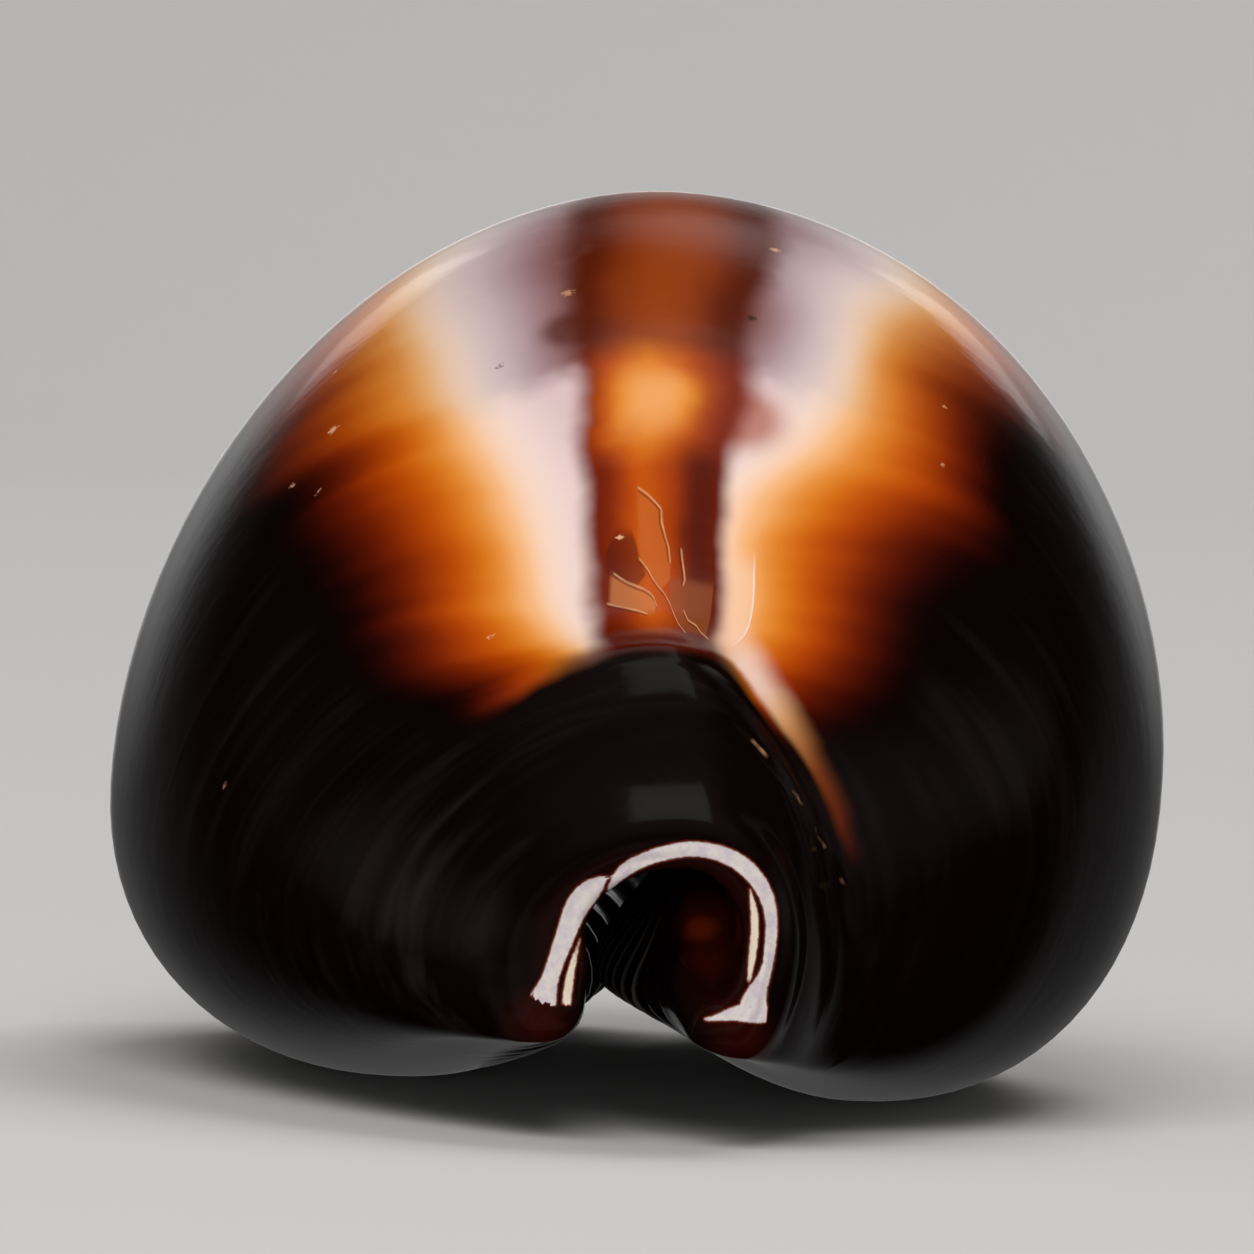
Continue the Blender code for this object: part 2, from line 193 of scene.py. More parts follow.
# Cross zones of the back, from 0 where it is bright to 1 where it is lilac, at distances from the front tip
ZONES = ((0, 0), (12.9, 0), (14.3, 1), (22.5, 1), (25, 0), (31.0, 0), (33.5, 1), (42, 1))

# The flanks change more slowly: the distances over which they turn lilac, turn bright again and turn lilac
# towards the rear. Here and below, a pair that runs from high to low is a passage that falls.
LILAC_START = (12.5, 18.5)
LILAC_END = (27.0, 22.0)
REAR_LILAC = (31.0, 36.0)

# Colours down the flanks, at shares of the way from the pale bands' ends to where the flanks have gone dark
BRIGHT_FLANK = ((-0.5, "blush"), (-0.2, "cream"), (-0.05, "shell_pink"), (0.06, "peach"), (0.22, "gold"),
                (0.43, "amber"), (0.62, "chestnut"), (0.80, "mahogany"), (1.0, "garnet"), (1.18, "onyx"),
                (1.4, "onyx"))
LILAC_FLANK = ((-0.9, "walnut"), (-0.68, "mauve"), (-0.45, "lilac"), (-0.18, "pearl"), (-0.02, "ivory"),
               (0.1, "fawn"), (0.22, "ochre"), (0.43, "russet"), (0.64, "umber"), (0.85, "walnut"),
               (1.1, "onyx"), (1.4, "onyx"))

# Colours across the middle band, from 0 at its left edge to 1 at its right one: in the bright zones, in the
# lilac ones, and in the bright window's surround and heart
BRIGHT_BAND = ((0.0, "mahogany"), (0.14, "mahogany"), (0.25, "chestnut"), (0.36, "amber"), (0.48, "rust"),
               (0.6, "chestnut"), (0.72, "maroon"), (0.86, "maroon"), (1.0, "mahogany"))
LILAC_BAND = ((-0.1, "walnut"), (0.1, "walnut"), (0.22, "umber"), (0.38, "toffee"), (0.6, "toffee"),
              (0.74, "umber"), (0.86, "walnut"), (1.1, "walnut"))
WINDOW_COLOURS = ((0.0, "mahogany"), (0.12, "chestnut"), (0.24, "amber"), (0.4, "gold"), (0.6, "amber"),
                  (0.74, "chestnut"), (0.9, "mahogany"))
HEART_COLOURS = ((0.02, "mahogany"), (0.14, "amber"), (0.22, "gold"), (0.32, "honey"), (0.54, "honey"),
                 (0.64, "gold"), (0.75, "chestnut"), (0.9, "mahogany"))

# Distances from the front tip: where the middle band comes out of the callus, its bright window and the
# window's heart with the softness of their ends, and where the rear turns dark
BAND_START = (7.1, 5.6)
WINDOW = (11.5, 14.2, 1.2)
WINDOW_HEART = (12.1, 13.5, 1.2)
REAR_FADE = (36.0, 38.2)

# The pale streak beside the callus: its turns with the softness of its ends, and its colours down the flank
STREAK_TURNS = (3.8, 15.0, 3.0)
STREAK_COLOURS = ((3.5, "shell_pink"), (6.5, "cream"), (8.0, "peach"), (9.5, "tan"), (11.5, "umber"),
                  (16.0, "maroon"))

# The callus's ring of painted grey reflection as distances past its edge, and the turns of the painted
# glints along the crease, with the softness of their ends
PAINTED_SHEEN_RING = (-2.1, -0.9, 0.9)
GLINT_TURNS = (3.0, 16.0, 2.0)

# Shares in which painted layers cover the colours under them
COVER = {
    "plate": 0.6, "flap": 0.5, "crack_shadow": 0.55, "streak": 0.85, "callus_edge": 0.85, "glint": 0.6,
    "haze": 0.3, "fold_core": 0.5, "rim_foot": 0.8, "groove": 0.6, "crest": 0.7,
}

# Grain of each noise: its scale to a millimetre, detail and roughness
GRAINS = {
    "lobes": (0.35, 2.0, 0.5), "feather": (1.2, 1.0, 0.4), "wobble": (0.6, 2.0, 0.5),
    "growth": (1.5, 2.0, 0.65), "worn": (2.2, 1.0, 0.5), "ragged": (9.0, 2.0, 0.6),
    "mottle": (3.5, 2.0, 0.7), "rough": (12.0, 1.0, 0.5), "swells": (1.6, 1.0, 0.5),
}

# Slant of the feathers, in millimetres to a turn, the growth lines' height in millimetres, and what the bared
# shell and the inside add to the roughness
FEATHER_SLANT = 0.25
GROWTH_HEIGHT = 0.02
BARED_ROUGHNESS = 0.2
INSIDE_ROUGHNESS = 0.1

# Strips of pale shell bared on the front rim: points as (across, height, half width) in millimetres. Each
# starts with a square end.
BARED_STRIPS = (
    ((-1.90, 3.26, 0.33), (-1.77, 3.73, 0.22), (-1.60, 4.32, 0.22), (-1.40, 4.97, 0.25), (-1.22, 5.45, 0.29),
     (-0.94, 5.82, 0.26), (-0.66, 6.08, 0.10)),
    ((-0.55, 5.80, 0.05), (-0.25, 6.24, 0.16), (0.26, 6.58, 0.18), (0.84, 6.79, 0.19), (1.43, 6.88, 0.19),
     (2.02, 6.80, 0.20), (2.51, 6.58, 0.21), (2.91, 6.20, 0.20), (3.16, 5.74, 0.18), (3.25, 5.22, 0.16),
     (3.24, 4.64, 0.15), (3.15, 4.11, 0.16), (3.0, 3.72, 0.24), (2.93, 3.4, 0.33)),
    ((3.24, 3.16, 0.14), (2.95, 3.2, 0.20), (2.6, 3.22, 0.19), (2.25, 3.13, 0.12), (1.85, 3.04, 0.05)),
)
CREAM_STRIPS = (
    ((2.70, 6.07, 0.03), (2.84, 5.49, 0.10), (2.87, 4.91, 0.11), (2.83, 4.33, 0.09), (2.80, 3.95, 0.05)),
    ((-1.35, 3.2, 0.12), (-1.33, 3.58, 0.12), (-1.26, 4.11, 0.09), (-1.12, 4.70, 0.03)),
)

# Points at which a strip's line is drawn, the first stretch of the shell, in which strips are looked for, and
# the distance from them that stands for far away
STRIP_STEPS = 80
FRONT_RIM = 1.2
FAR_FROM_STRIPS = 2.0

# Thin bright lines of the cracked enamel behind the callus, as (turn, distance from the front tip) points,
# and steeper ones, as (distance from the front tip, turn) points. Their widths are in the units of the second
# number of a point.
CRACK_WIDTH = 0.055
STEEP_CRACK_WIDTH = 0.065
LEVEL_CRACKS = (
    ((-2.39, 7.54), (-2.07, 7.43), (-1.71, 7.33), (-1.29, 7.22), (-0.88, 7.08)),
    ((-2.05, 8.38), (-1.81, 8.23), (-1.60, 8.12), (-1.29, 8.0), (-0.98, 7.91), (-0.74, 7.79), (-0.54, 7.63),
     (-0.41, 7.35)),
    ((-1.11, 8.73), (-0.93, 8.58), (-0.77, 8.42), (-0.61, 8.21), (-0.35, 8.0), (-0.04, 7.79), (0.32, 7.5),
     (0.66, 7.12), (1.0, 6.71), (1.52, 6.33)),
    ((-1.06, 10.48), (-0.77, 10.33), (-0.61, 10.23), (-0.35, 10.08), (-0.15, 9.94)),
    ((1.21, 7.29), (1.52, 6.96), (2.04, 6.81), (2.33, 6.58), (2.88, 6.35)),
)
STEEP_CRACKS = (
    ((8.63, 0.32), (9.0, 0.22), (9.25, 0.06), (9.6, -0.12), (9.94, -0.15)),
    ((8.06, 1.05), (8.21, 1.10), (8.42, 1.03), (8.75, 0.90), (9.0, 0.82)),
)

# The right edge of the loose flap beside them, as (distance from the front tip, turn) points, and where the
# flap begins and ends, with the softness of its ends
FLAP_EDGE = ((6.33, 4.07), (6.71, 4.28), (7.08, 4.40), (7.38, 4.39), (7.75, 4.28), (8.13, 4.13), (8.79, 3.81),
             (9.17, 3.66), (9.4, 3.53))
FLAP_LENGTH = (6.6, 9.0, 0.9)

# Plates of enamel between the cracks, by colour: their left and right edges as (distance from the front tip,
# turn) points
PLATES = (
    ("plate_tan", ((7.1, -1.2), (7.33, -1.71), (7.54, -2.3), (8.38, -2.15)),
     ((7.1, -0.55), (7.42, -0.41), (7.63, -0.54), (7.91, -0.98), (8.12, -1.60), (8.38, -2.05))),
    ("maroon", ((8.0, -1.4), (8.38, -2.3), (8.9, -2.3), (9.4, -1.9)),
     ((8.0, -1.2), (8.3, -0.85), (8.73, -1.05), (9.4, -1.3))),
    ("plate_amber", ((7.9, -0.35), (8.21, -0.61), (8.77, -1.11), (10.45, -1.08)),
     ((7.9, -0.1), (8.2, 0.35), (8.63, 0.32), (9.25, 0.06), (9.94, -0.15), (10.45, -1.0))),
    ("plate_brown", ((6.4, 1.6), (6.7, 1.0), (7.5, 0.35), (8.2, 0.3)), ((6.4, 2.7), (7.3, 2.6), (8.2, 2.4))),
)

# Soft stains beside the band down the middle: place in millimetres, reach, strength and colour
STAINS = (
    ((-2.15, -5.7, 18.4), 1.3, 0.75, "walnut"), ((1.9, -8.4, 16.6), 2.0, 0.7, "chestnut"),
)

# Glow on the inner fold and its core, and the dark red feet under the rim: place in millimetres and reach
FOLD_GLOW = ((1.75, -16.6, 4.8), 2.4)
FOLD_CORE = ((1.62, -16.0, 4.85), 0.65)
RIM_FEET = (((-1.9, -20.2, 2.75), 1.2), ((2.6, -20.2, 2.65), 1.2))

# Scratches and pits of the enamel: place in millimetres, reach and how plain each is, below 0 for dark ones
MARKS = (
    ((-7.88, -2.63, 17.12), 0.10, 0.6), ((-7.79, -5.20, 15.76), 0.17, 0.8),
    ((-8.69, -5.89, 14.37), 0.12, 0.8), ((-8.03, -6.90, 14.28), 0.09, 0.4),
    ((-10.29, -6.72, 11.5), 0.15, -1.0), ((-2.30, -4.38, 19.36), 0.20, 0.5),
    ((-3.83, -6.36, 17.53), 0.12, -0.6), ((2.68, -1.80, 20.67), 0.18, 0.6),
    ((2.18, -5.25, 19.01), 0.16, -0.6), ((6.95, -5.27, 17.11), 0.10, 0.6),
    ((6.93, -7.17, 15.75), 0.10, 0.6), ((-0.71, -11.69, 13.73), 0.11, 1.0),
    ((-3.64, -13.46, 11.26), 0.10, 0.7), ((-9.74, -11.41, 7.34), 0.10, 0.3),
)

# The floor in metres: level out to a radius, then rising by this share of the square of the distance beyond
LEVEL_RADIUS = 0.6
FLOOR_RADIUS = 1.5
FLOOR_RISE = 0.9
FLOOR_SIDES = 96

# Strength of the white surround, which the polish doesn't show
SURROUND_STRENGTH = 0.18

# The point in metres that every light faces
SHELL_MIDDLE = (0.0, 0.0, 0.010)

# Lamps by name: place and size in metres, and power in watts
LAMPS = {
    "key": ((-0.12, -0.55, 0.52), (0.55, 0.45), 3.9),
    "front_fill": ((0.0, -0.60, 0.03), (0.20, 0.10), 1.0),
    "rear_fill": ((0.30, 0.60, 0.90), (0.7, 0.6), 5.9),
}

# Dim panels that only the polish shows, by name: place and size in metres, radiance, and whether they fade
# out towards their edges
MIRRORED_PANELS = {
    "overhead": ((0.0, 0.09, 0.45), (0.18, 0.14), 0.45, False),
    "ceiling": ((0.0, 0.0, 0.90), (1.6, 1.6), 0.14, True),
    "horizon": ((0.0, 0.90, 0.05), (2.8, 2.0), 0.10, True),
    "edge_glow": ((0.0, 0.70, 0.02), (0.30, 0.22), 1.4, True),
    "backlight_left": ((-0.20, 0.64, 0.17), (0.55, 0.44), 0.42, True),
    "backlight_right": ((0.20, 0.64, 0.17), (0.55, 0.44), 0.48, True),
    "crest_glow": ((0.10, 0.55, 0.49), (0.55, 0.42), 0.5, True),
    "rear_window_left": ((-0.27, 0.74, 0.34), (0.17, 0.13), 0.8, False),
    "rear_window_right": ((0.27, 0.74, 0.34), (0.17, 0.13), 0.8, False),
    "side_left": ((-0.85, -0.10, 0.40), (1.4, 0.8), 0.18, True),
    "side_right": ((0.85, -0.10, 0.40), (1.4, 0.8), 0.17, True),
    "front_glow": ((0.0, -0.90, 0.35), (2.2, 1.2), 0.12, True),
}

# The camera: the point that it looks at in millimetres, its elevation and roll in degrees, and its distance
# and the width of its view there in metres. Its sensor is in millimetres.
CAMERA_TARGET = (-0.433, 2.0, 11.13)
CAMERA_ELEVATION = 2.0
CAMERA_ROLL = 3.1
CAMERA_DISTANCE = 0.300
CAMERA_WIDTH = 0.03108
SENSOR_WIDTH = 36.0


def smooth_curve(keys, values, at, end_slopes=None):
    """Cubic curve through (keys, values), read at the points `at`. Its ends are free or have given slopes."""
    keys = np.asarray(keys, float)
    values = np.asarray(values, float)
    gap = np.diff(keys)
    rise = np.diff(values, axis=0) / gap[:, None]
    system = np.eye(len(keys))
    right = np.zeros(values.shape)
    for i in range(1, len(keys) - 1):
        system[i, i - 1:i + 2] = gap[i - 1], 2 * (gap[i - 1] + gap[i]), gap[i]
        right[i] = 6 * (rise[i] - rise[i - 1])
    if end_slopes is not None:
        system[0, :2] = 2 * gap[0], gap[0]
        right[0] = 6 * (rise[0] - end_slopes[0])
        system[-1, -2:] = gap[-1], 2 * gap[-1]
        right[-1] = 6 * (end_slopes[1] - rise[-1])
    bend = np.linalg.solve(system, right)
    i = np.clip(np.searchsorted(keys, at) - 1, 0, len(keys) - 2)
    width = gap[i][:, None]
    passed = (at - keys[i])[:, None]
    left = width - passed
    cubic = (bend[i] * left ** 3 + bend[i + 1] * passed ** 3) / (6 * width)
    from_start = (values[i] / width - bend[i] * width / 6) * left
    from_end = (values[i + 1] / width - bend[i + 1] * width / 6) * passed
    return cubic + from_start + from_end


def read_table(points, at):
    """Cubic curve through a table of (key, value) points, held at its end values beyond them."""
    points = np.array(points, float)
    at = np.clip(at, points[0, 0], points[-1, 0])
    return smooth_curve(points[:, 0], points[:, 1:], at)[:, 0]


def read_guides(along):
    """Every guide and roundness at each of the distances from the front tip, by name."""
    found = {}
    for name, points in {**GUIDES, **ROUNDNESS}.items():
        points = np.array(points)
        found[name] = smooth_curve(points[:, 0], points[:, 1:], along)
    return found


def smoothstep(value, low, high):
    """0 up to low, 1 from high on, and a smooth rise between them."""
    share = np.clip((value - low) / (high - low), 0, 1)
    return share * share * (3 - 2 * share)


def quarter(start, end, roundness, sides, leaves_upright):
    """Quarter of a squared oval from start up to, but without, end: upright at one and level at the other."""
    turn = np.arange(sides) / sides * np.pi / 2
    slow = 1 - np.cos(turn) ** (2 / roundness)
    quick = np.sin(turn) ** (2 / roundness)
    across, up = (slow, quick) if leaves_upright else (quick, slow)
    return start + (end - start) * np.column_stack([across, up])


def lip(guides, i, shares, end_slopes):
    """One lip of section i, from its first guide up to, but without, its last, and the share of its teeth."""
    points = np.array([guides[name][i] for name in shares])
    keys = np.concatenate([[0], np.cumsum(np.linalg.norm(np.diff(points, axis=0), axis=1))])
    names = list(shares)[:-1]
    steps = [n + step / SIDES[name] for n, name in enumerate(names) for step in range(SIDES[name])]
    at = np.interp(steps, range(len(shares)), keys)
    curve = smooth_curve(keys, points, at, np.array(end_slopes, float))
    return curve, np.clip(np.interp(at, keys, list(shares.values())), 0, 1)


def heel_slope(start, end, roundness):
    """Direction in which a lip meets the chamber's floor: level, or straight on where the heel is flat."""
    straight = (end - start) / np.linalg.norm(end - start)
    level = np.clip(roundness - 1, 0, 1)
    return level * np.array([1.0, 0.0]) + (1 - level) * straight


def section(guides, i):
    """The closed outline of section i as (across, up), and the share of the teeth at each of its points."""
    g = {name: values[i] for name, values in guides.items()}
    slope_a = heel_slope(g["floor_a"], g["knee_a"], g["heel_a"][0])
    slope_b = heel_slope(g["knee_b"], g["floor_b"], g["heel_b"][0])
    lip_a, teeth_a = lip(guides, i, TEETH_A, (slope_a, (-1, 0)))
    lip_b, teeth_b = lip(guides, i, TEETH_B, ((-1, 0), slope_b))
    over = np.concatenate([
        quarter(g["lobe_a"], g["side_a"], g["corner_a"][0], SIDES["lobe_a"], False),
        quarter(g["side_a"], g["crest"], g["haunch_a"][0], SIDES["side_a"], True),
        quarter(g["crest"], g["side_b"], g["haunch_b"][0], SIDES["crest"], False),
        quarter(g["side_b"], g["lobe_b"], g["corner_b"][0], SIDES["side_b"], True),
    ])
    home = np.concatenate([
        quarter(g["floor_b"], g["inside_b"], g["heel_b"][0], SIDES["floor_b"], False),
        quarter(g["inside_b"], g["roof"], g["haunch_b"][0], SIDES["inside_b"], True),
        quarter(g["roof"], g["inside_a"], g["haunch_a"][0], SIDES["roof"], False),
        quarter(g["inside_a"], g["floor_a"], g["heel_a"][0], SIDES["inside_a"], True),
    ])
    outline = np.concatenate([lip_a, over, lip_b, home])
    teeth = np.concatenate([teeth_a, np.zeros(len(over)), teeth_b, np.zeros(len(home))])
    return outline, teeth


def round_section():
    """The turn at each point of a section, and how far inside the wall it is, from 0 to 1."""
    marks = np.concatenate([[0], np.cumsum([sides for _, sides, _ in ROUND])])
    turns = [turn for _, _, turn in ROUND] + [ROUND[0][2]]
    depths = {"knee": 0.5, "floor": 1.0, "inside": 1.0, "roof": 1.0}
    inside = [depths.get(name.split("_")[0], 0.0) for name, _, _ in ROUND] + [1.0]
    places = np.arange(marks[-1])
    return np.interp(places, marks, turns), np.interp(places, marks, inside)


def outward(outline):
    """Unit vectors in the section's plane that point out of the shell's wall, evened over tight corners."""
    along = np.roll(outline, -OUTWARD_REACH, axis=0) - np.roll(outline, OUTWARD_REACH, axis=0)
    along /= np.linalg.norm(along, axis=1)[:, None]
    return np.column_stack([-along[:, 1], along[:, 0]])


def tooth_wave(along, form):
    """Height of the tooth ridges at this distance from the tip, from -1 in a groove to 1 on a crest."""
    start, end = form.teeth_start / MILLIMETRE, form.teeth_end / MILLIMETRE
    share = (along - start) / (end - start)
    fade = np.clip(np.minimum(share, 1 - share) / form.teeth_fade, 0, 1)
    crest = ((1 - np.cos(2 * np.pi * form.teeth * share)) / 2) ** form.tooth_sharpness
    return (2 * crest - 1) * fade


def station_distances(form):
    """Distances of the sections from the front tip: closest round the rims, close on the front stretch."""
    rim = form.rim_radius / MILLIMETRE * (1 - np.cos(np.linspace(0, np.pi / 2, RIM_SECTIONS)))
    front = np.linspace(rim[-1], FRONT_STRETCH, FRONT_SECTIONS + 1)[1:]
    rear = np.linspace(FRONT_STRETCH, DRAWN_LENGTH - rim[-1], REAR_SECTIONS + 2)[1:-1]
    return np.concatenate([rim, front, rear, DRAWN_LENGTH - rim[::-1]])


def surface_normals(points):
    """Unit normals of a grid of points whose second direction runs round, pointing out of the wall."""
    over = np.gradient(points, axis=0)
    across = np.roll(points, -1, axis=1) - np.roll(points, 1, axis=1)
    normals = np.cross(over, across)
    return normals / np.maximum(np.linalg.norm(normals, axis=2), 1e-9)[:, :, None]


def loft(form):
    """The plain shell as a grid of points in millimetres, with its fields: along, turn, inside and tooth."""
    along = station_distances(form)
    guides = read_guides(along)
    rim = form.rim_radius / MILLIMETRE
    tooth_height = form.tooth_height / MILLIMETRE
    rings, teeth, waves = [], [], []
    for i, distance in enumerate(along):
        outline, shares = section(guides, i)
        from_tip = min(distance, DRAWN_LENGTH - distance)
        rounding = rim - math.sqrt(rim ** 2 - max(0.0, rim - from_tip) ** 2)
        wave = tooth_wave(distance, form)
        ridges = wave * shares
        rounding = rounding * (1 - form.lip_share * shares)
        outline += outward(outline) * (ridges * tooth_height / 2 - rounding)[:, None]
        across, up = outline[:, 0], np.maximum(outline[:, 1], 0.0)
        lean = form.rim_lean * math.exp(-(from_tip * MILLIMETRE / form.lean_reach) ** 2) * (up - up.min())
        inward = lean if distance < DRAWN_LENGTH / 2 else -lean
        rings.append(np.column_stack([across, distance + inward, up]))
        teeth.append(ridges)
        waves.append(wave)
    points = np.array(rings)
    low, high = points.min(axis=(0, 1)), points.max(axis=(0, 1))
    cad_low, cad_high = (np.array(corner) / MILLIMETRE for corner in CAD_BOX)
    points = (points - low) / (high - low) * (cad_high - cad_low) + cad_low
    turn, inside = round_section()
    shape = points.shape[:2]
    return points, {
        "along": np.broadcast_to(along[:, None], shape),
        "turn": np.broadcast_to(turn, shape),
        "inside": np.broadcast_to(inside, shape),
        "tooth": np.array(teeth),
        "wave": np.broadcast_to(np.array(waves)[:, None], shape),
    }


def side_table(points_a, points_b, fields):
    """A table for each side, read along the shell, with the side of each point's turn taken."""
    along = fields["along"][:, 0]
    left, right = read_table(points_a, along), read_table(points_b, along)
    return np.where(fields["turn"] < 0, left[:, None], right[:, None])


def add_callus_fields(fields):
    """Distances past the callus's edge and past the crease on the snout's right flank, in millimetres."""
    turn = fields["turn"][0]
    fields["callus"] = fields["along"] - read_table(CALLUS_EDGE, turn)
    fields["crease"] = fields["along"] - read_table(CREASE, turn)


def add_back_fields(fields):
    """Where each point is among the back's colours: across the band, down the flanks and along the zones."""
    along = fields["along"][:, 0]
    left, right = read_table(BAND_EDGE_A, along)[:, None], read_table(BAND_EDGE_B, along)[:, None]
    fields["band"] = (fields["turn"] - left) / (right - left)
    pale = side_table(PALE_EDGE_A, PALE_EDGE_B, fields)
    dark = side_table(DARK_EDGE_A, DARK_EDGE_B, fields)
    fields["flank"] = (np.abs(fields["turn"]) - pale) / (dark - pale)
    keys, values = np.array(ZONES).T
    fields["zone"] = np.broadcast_to(np.interp(along, keys, values)[:, None], fields["along"].shape)


def relief(fields, form):
    """Height in millimetres that the callus and its crease add to the plain shell."""
    turn, outside = fields["turn"], 1 - fields["inside"]
    layer = form.callus_height / MILLIMETRE * (1 - smoothstep(fields["callus"], *CALLUS_FALL))
    layer = layer * (1 - smoothstep(np.abs(turn), *CALLUS_SIDES))
    reach = smoothstep(turn, *CREASE_START) * (1 - smoothstep(turn, *CREASE_END))
    step = form.crease_height / MILLIMETRE * (1 - smoothstep(fields["crease"], *CREASE_FALL)) * reach
    return (layer + step) * outside * smoothstep(fields["along"], *RELIEF_START)


def strip_distance(points, strips):
    """Distance in millimetres from the edge of the nearest strip, seen from the front, negative inside it."""
    nearest = np.full(len(points), FAR_FROM_STRIPS)
    for strip in strips:
        marks = np.array(strip)
        keys = np.concatenate([[0], np.cumsum(np.linalg.norm(np.diff(marks[:, :2], axis=0), axis=1))])
        line = smooth_curve(keys, marks, np.linspace(0, keys[-1], STRIP_STEPS))
        apart = np.hypot(points[:, :1] - line[:, 0], points[:, 2:] - line[:, 1]) - line[:, 2]
        found = apart.min(axis=1)
        onward = (line[1, :2] - line[0, :2]) / np.linalg.norm(line[1, :2] - line[0, :2])
        offset = points[:, [0, 2]] - line[0, :2]
        before = -(offset @ onward)
        aside = np.abs(offset @ np.array([-onward[1], onward[0]])) - line[0, 2]
        at_start = (before > 0) & (apart.argmin(axis=1) == 0)
        found = np.where(at_start, np.maximum(before, aside), found)
        nearest = np.minimum(nearest, found)
    return nearest


def rim_rows(ring, fields, at, towards, form):
    """Rows that close the rim of one canal, from its outer edge to its inner one, and their fields."""
    count = len(ring)
    steps = np.arange(count // 2 + 1)
    outer, inner = (LIP_A_EDGE + steps) % count, (LIP_A_EDGE - steps) % count
    share = np.linspace(0, 1, RIM_ROWS + 1)[1:-1, None, None]
    rows = ring[outer] * (1 - share) + ring[inner] * share
    swell = form.rim_swell / MILLIMETRE * np.sin(np.pi * share[:, :, 0]) ** 2
    width = np.linalg.norm(ring[outer] - ring[inner], axis=1)
    rows[:, :, 1] += towards * swell * np.clip(width / FULL_SWELL_WIDTH, 0, 1)
    found = {}
    for name, values in fields.items():
        found[name] = values[at][outer] * (1 - share[:, :, 0]) + values[at][inner] * share[:, :, 0]
    return rows, found, outer, inner


def close_rim(points, fields, index, at, towards, first, form):
    """Points, fields and faces that close one canal's rim. The numbers of its own points start at first."""
    rim, found, outer, inner = rim_rows(points[at], fields, at, towards, form)
    own = np.arange(rim[:, 1:-1, 0].size).reshape(rim.shape[0], -1) + first
    ends = index[at][outer[[0, -1]]]
    middle = np.column_stack([np.full(len(own), ends[0]), own, np.full(len(own), ends[1])])
    grid = np.vstack([index[at][outer], middle, index[at][inner]])
    quads = np.stack([grid[:-1, :-1], grid[1:, :-1], grid[1:, 1:], grid[:-1, 1:]], axis=-1).reshape(-1, 4)
    if at == -1:
        quads = quads[:, ::-1]
    faces = [list(dict.fromkeys(quad)) for quad in quads.tolist()]
    found = {name: values[:, 1:-1].ravel() for name, values in found.items()}
    return rim[:, 1:-1].reshape(-1, 3), found, faces


def add_strip_fields(values, vertices):
    """Distances from the bared strips, for the points on the front rim."""
    on_front = values["along"] < FRONT_RIM
    for name, strips in (("bared", BARED_STRIPS), ("cream", CREAM_STRIPS)):
        values[name] = np.full(len(vertices), FAR_FROM_STRIPS)
        values[name][on_front] = strip_distance(vertices[on_front], strips)


def shell_mesh(form):
    """Mesh of the shell with its fields: the loft, its relief and the closed rims of both canals."""
    points, fields = loft(form)
    add_callus_fields(fields)
    add_back_fields(fields)
    points = points + surface_normals(points) * relief(fields, form)[:, :, None]
    index = np.arange(points[:, :, 0].size).reshape(points.shape[:2])
    right = np.roll(index, -1, axis=1)
    faces = np.stack([index[:-1], right[:-1], right[1:], index[1:]], axis=-1).reshape(-1, 4).tolist()
    vertices = points.reshape(-1, 3)
    values = {name: np.asarray(field).ravel() for name, field in fields.items()}
    for at, towards in ((0, -1.0), (-1, 1.0)):
        rim, found, rim_faces = close_rim(points, fields, index, at, towards, len(vertices), form)
        vertices = np.concatenate([vertices, rim])
        values = {name: np.concatenate([field, found[name]]) for name, field in values.items()}
        faces += rim_faces
    add_strip_fields(values, vertices)
    mesh = bpy.data.meshes.new("shell_enamelled")
    mesh.from_pydata((vertices * MILLIMETRE).tolist(), [], faces)
    for name, field in values.items():
        mesh.attributes.new(name, "FLOAT", "POINT").data.foreach_set("value", field.astype(np.float32))
    mesh.validate()
    mesh.shade_smooth()
    return mesh


class Wire:
    """One output of a material's nodes. Python arithmetic on it adds Math nodes and gives the next Wire."""

    def __init__(self, paint, socket):
        self.paint = paint
        self.socket = socket

    def __add__(self, other):
        return self.paint.maths("ADD", self, other)

    __radd__ = __add__

    def __sub__(self, other):
        return self.paint.maths("SUBTRACT", self, other)

    def __rsub__(self, other):
        return self.paint.maths("SUBTRACT", other, self)

    def __mul__(self, other):
        return self.paint.maths("MULTIPLY", self, other)

    __rmul__ = __mul__

    def __truediv__(self, other):
        return self.paint.maths("DIVIDE", self, other)

    def __pow__(self, power):
        return self.paint.maths("POWER", self, power)

    def __abs__(self):
        return self.paint.maths("ABSOLUTE", self)


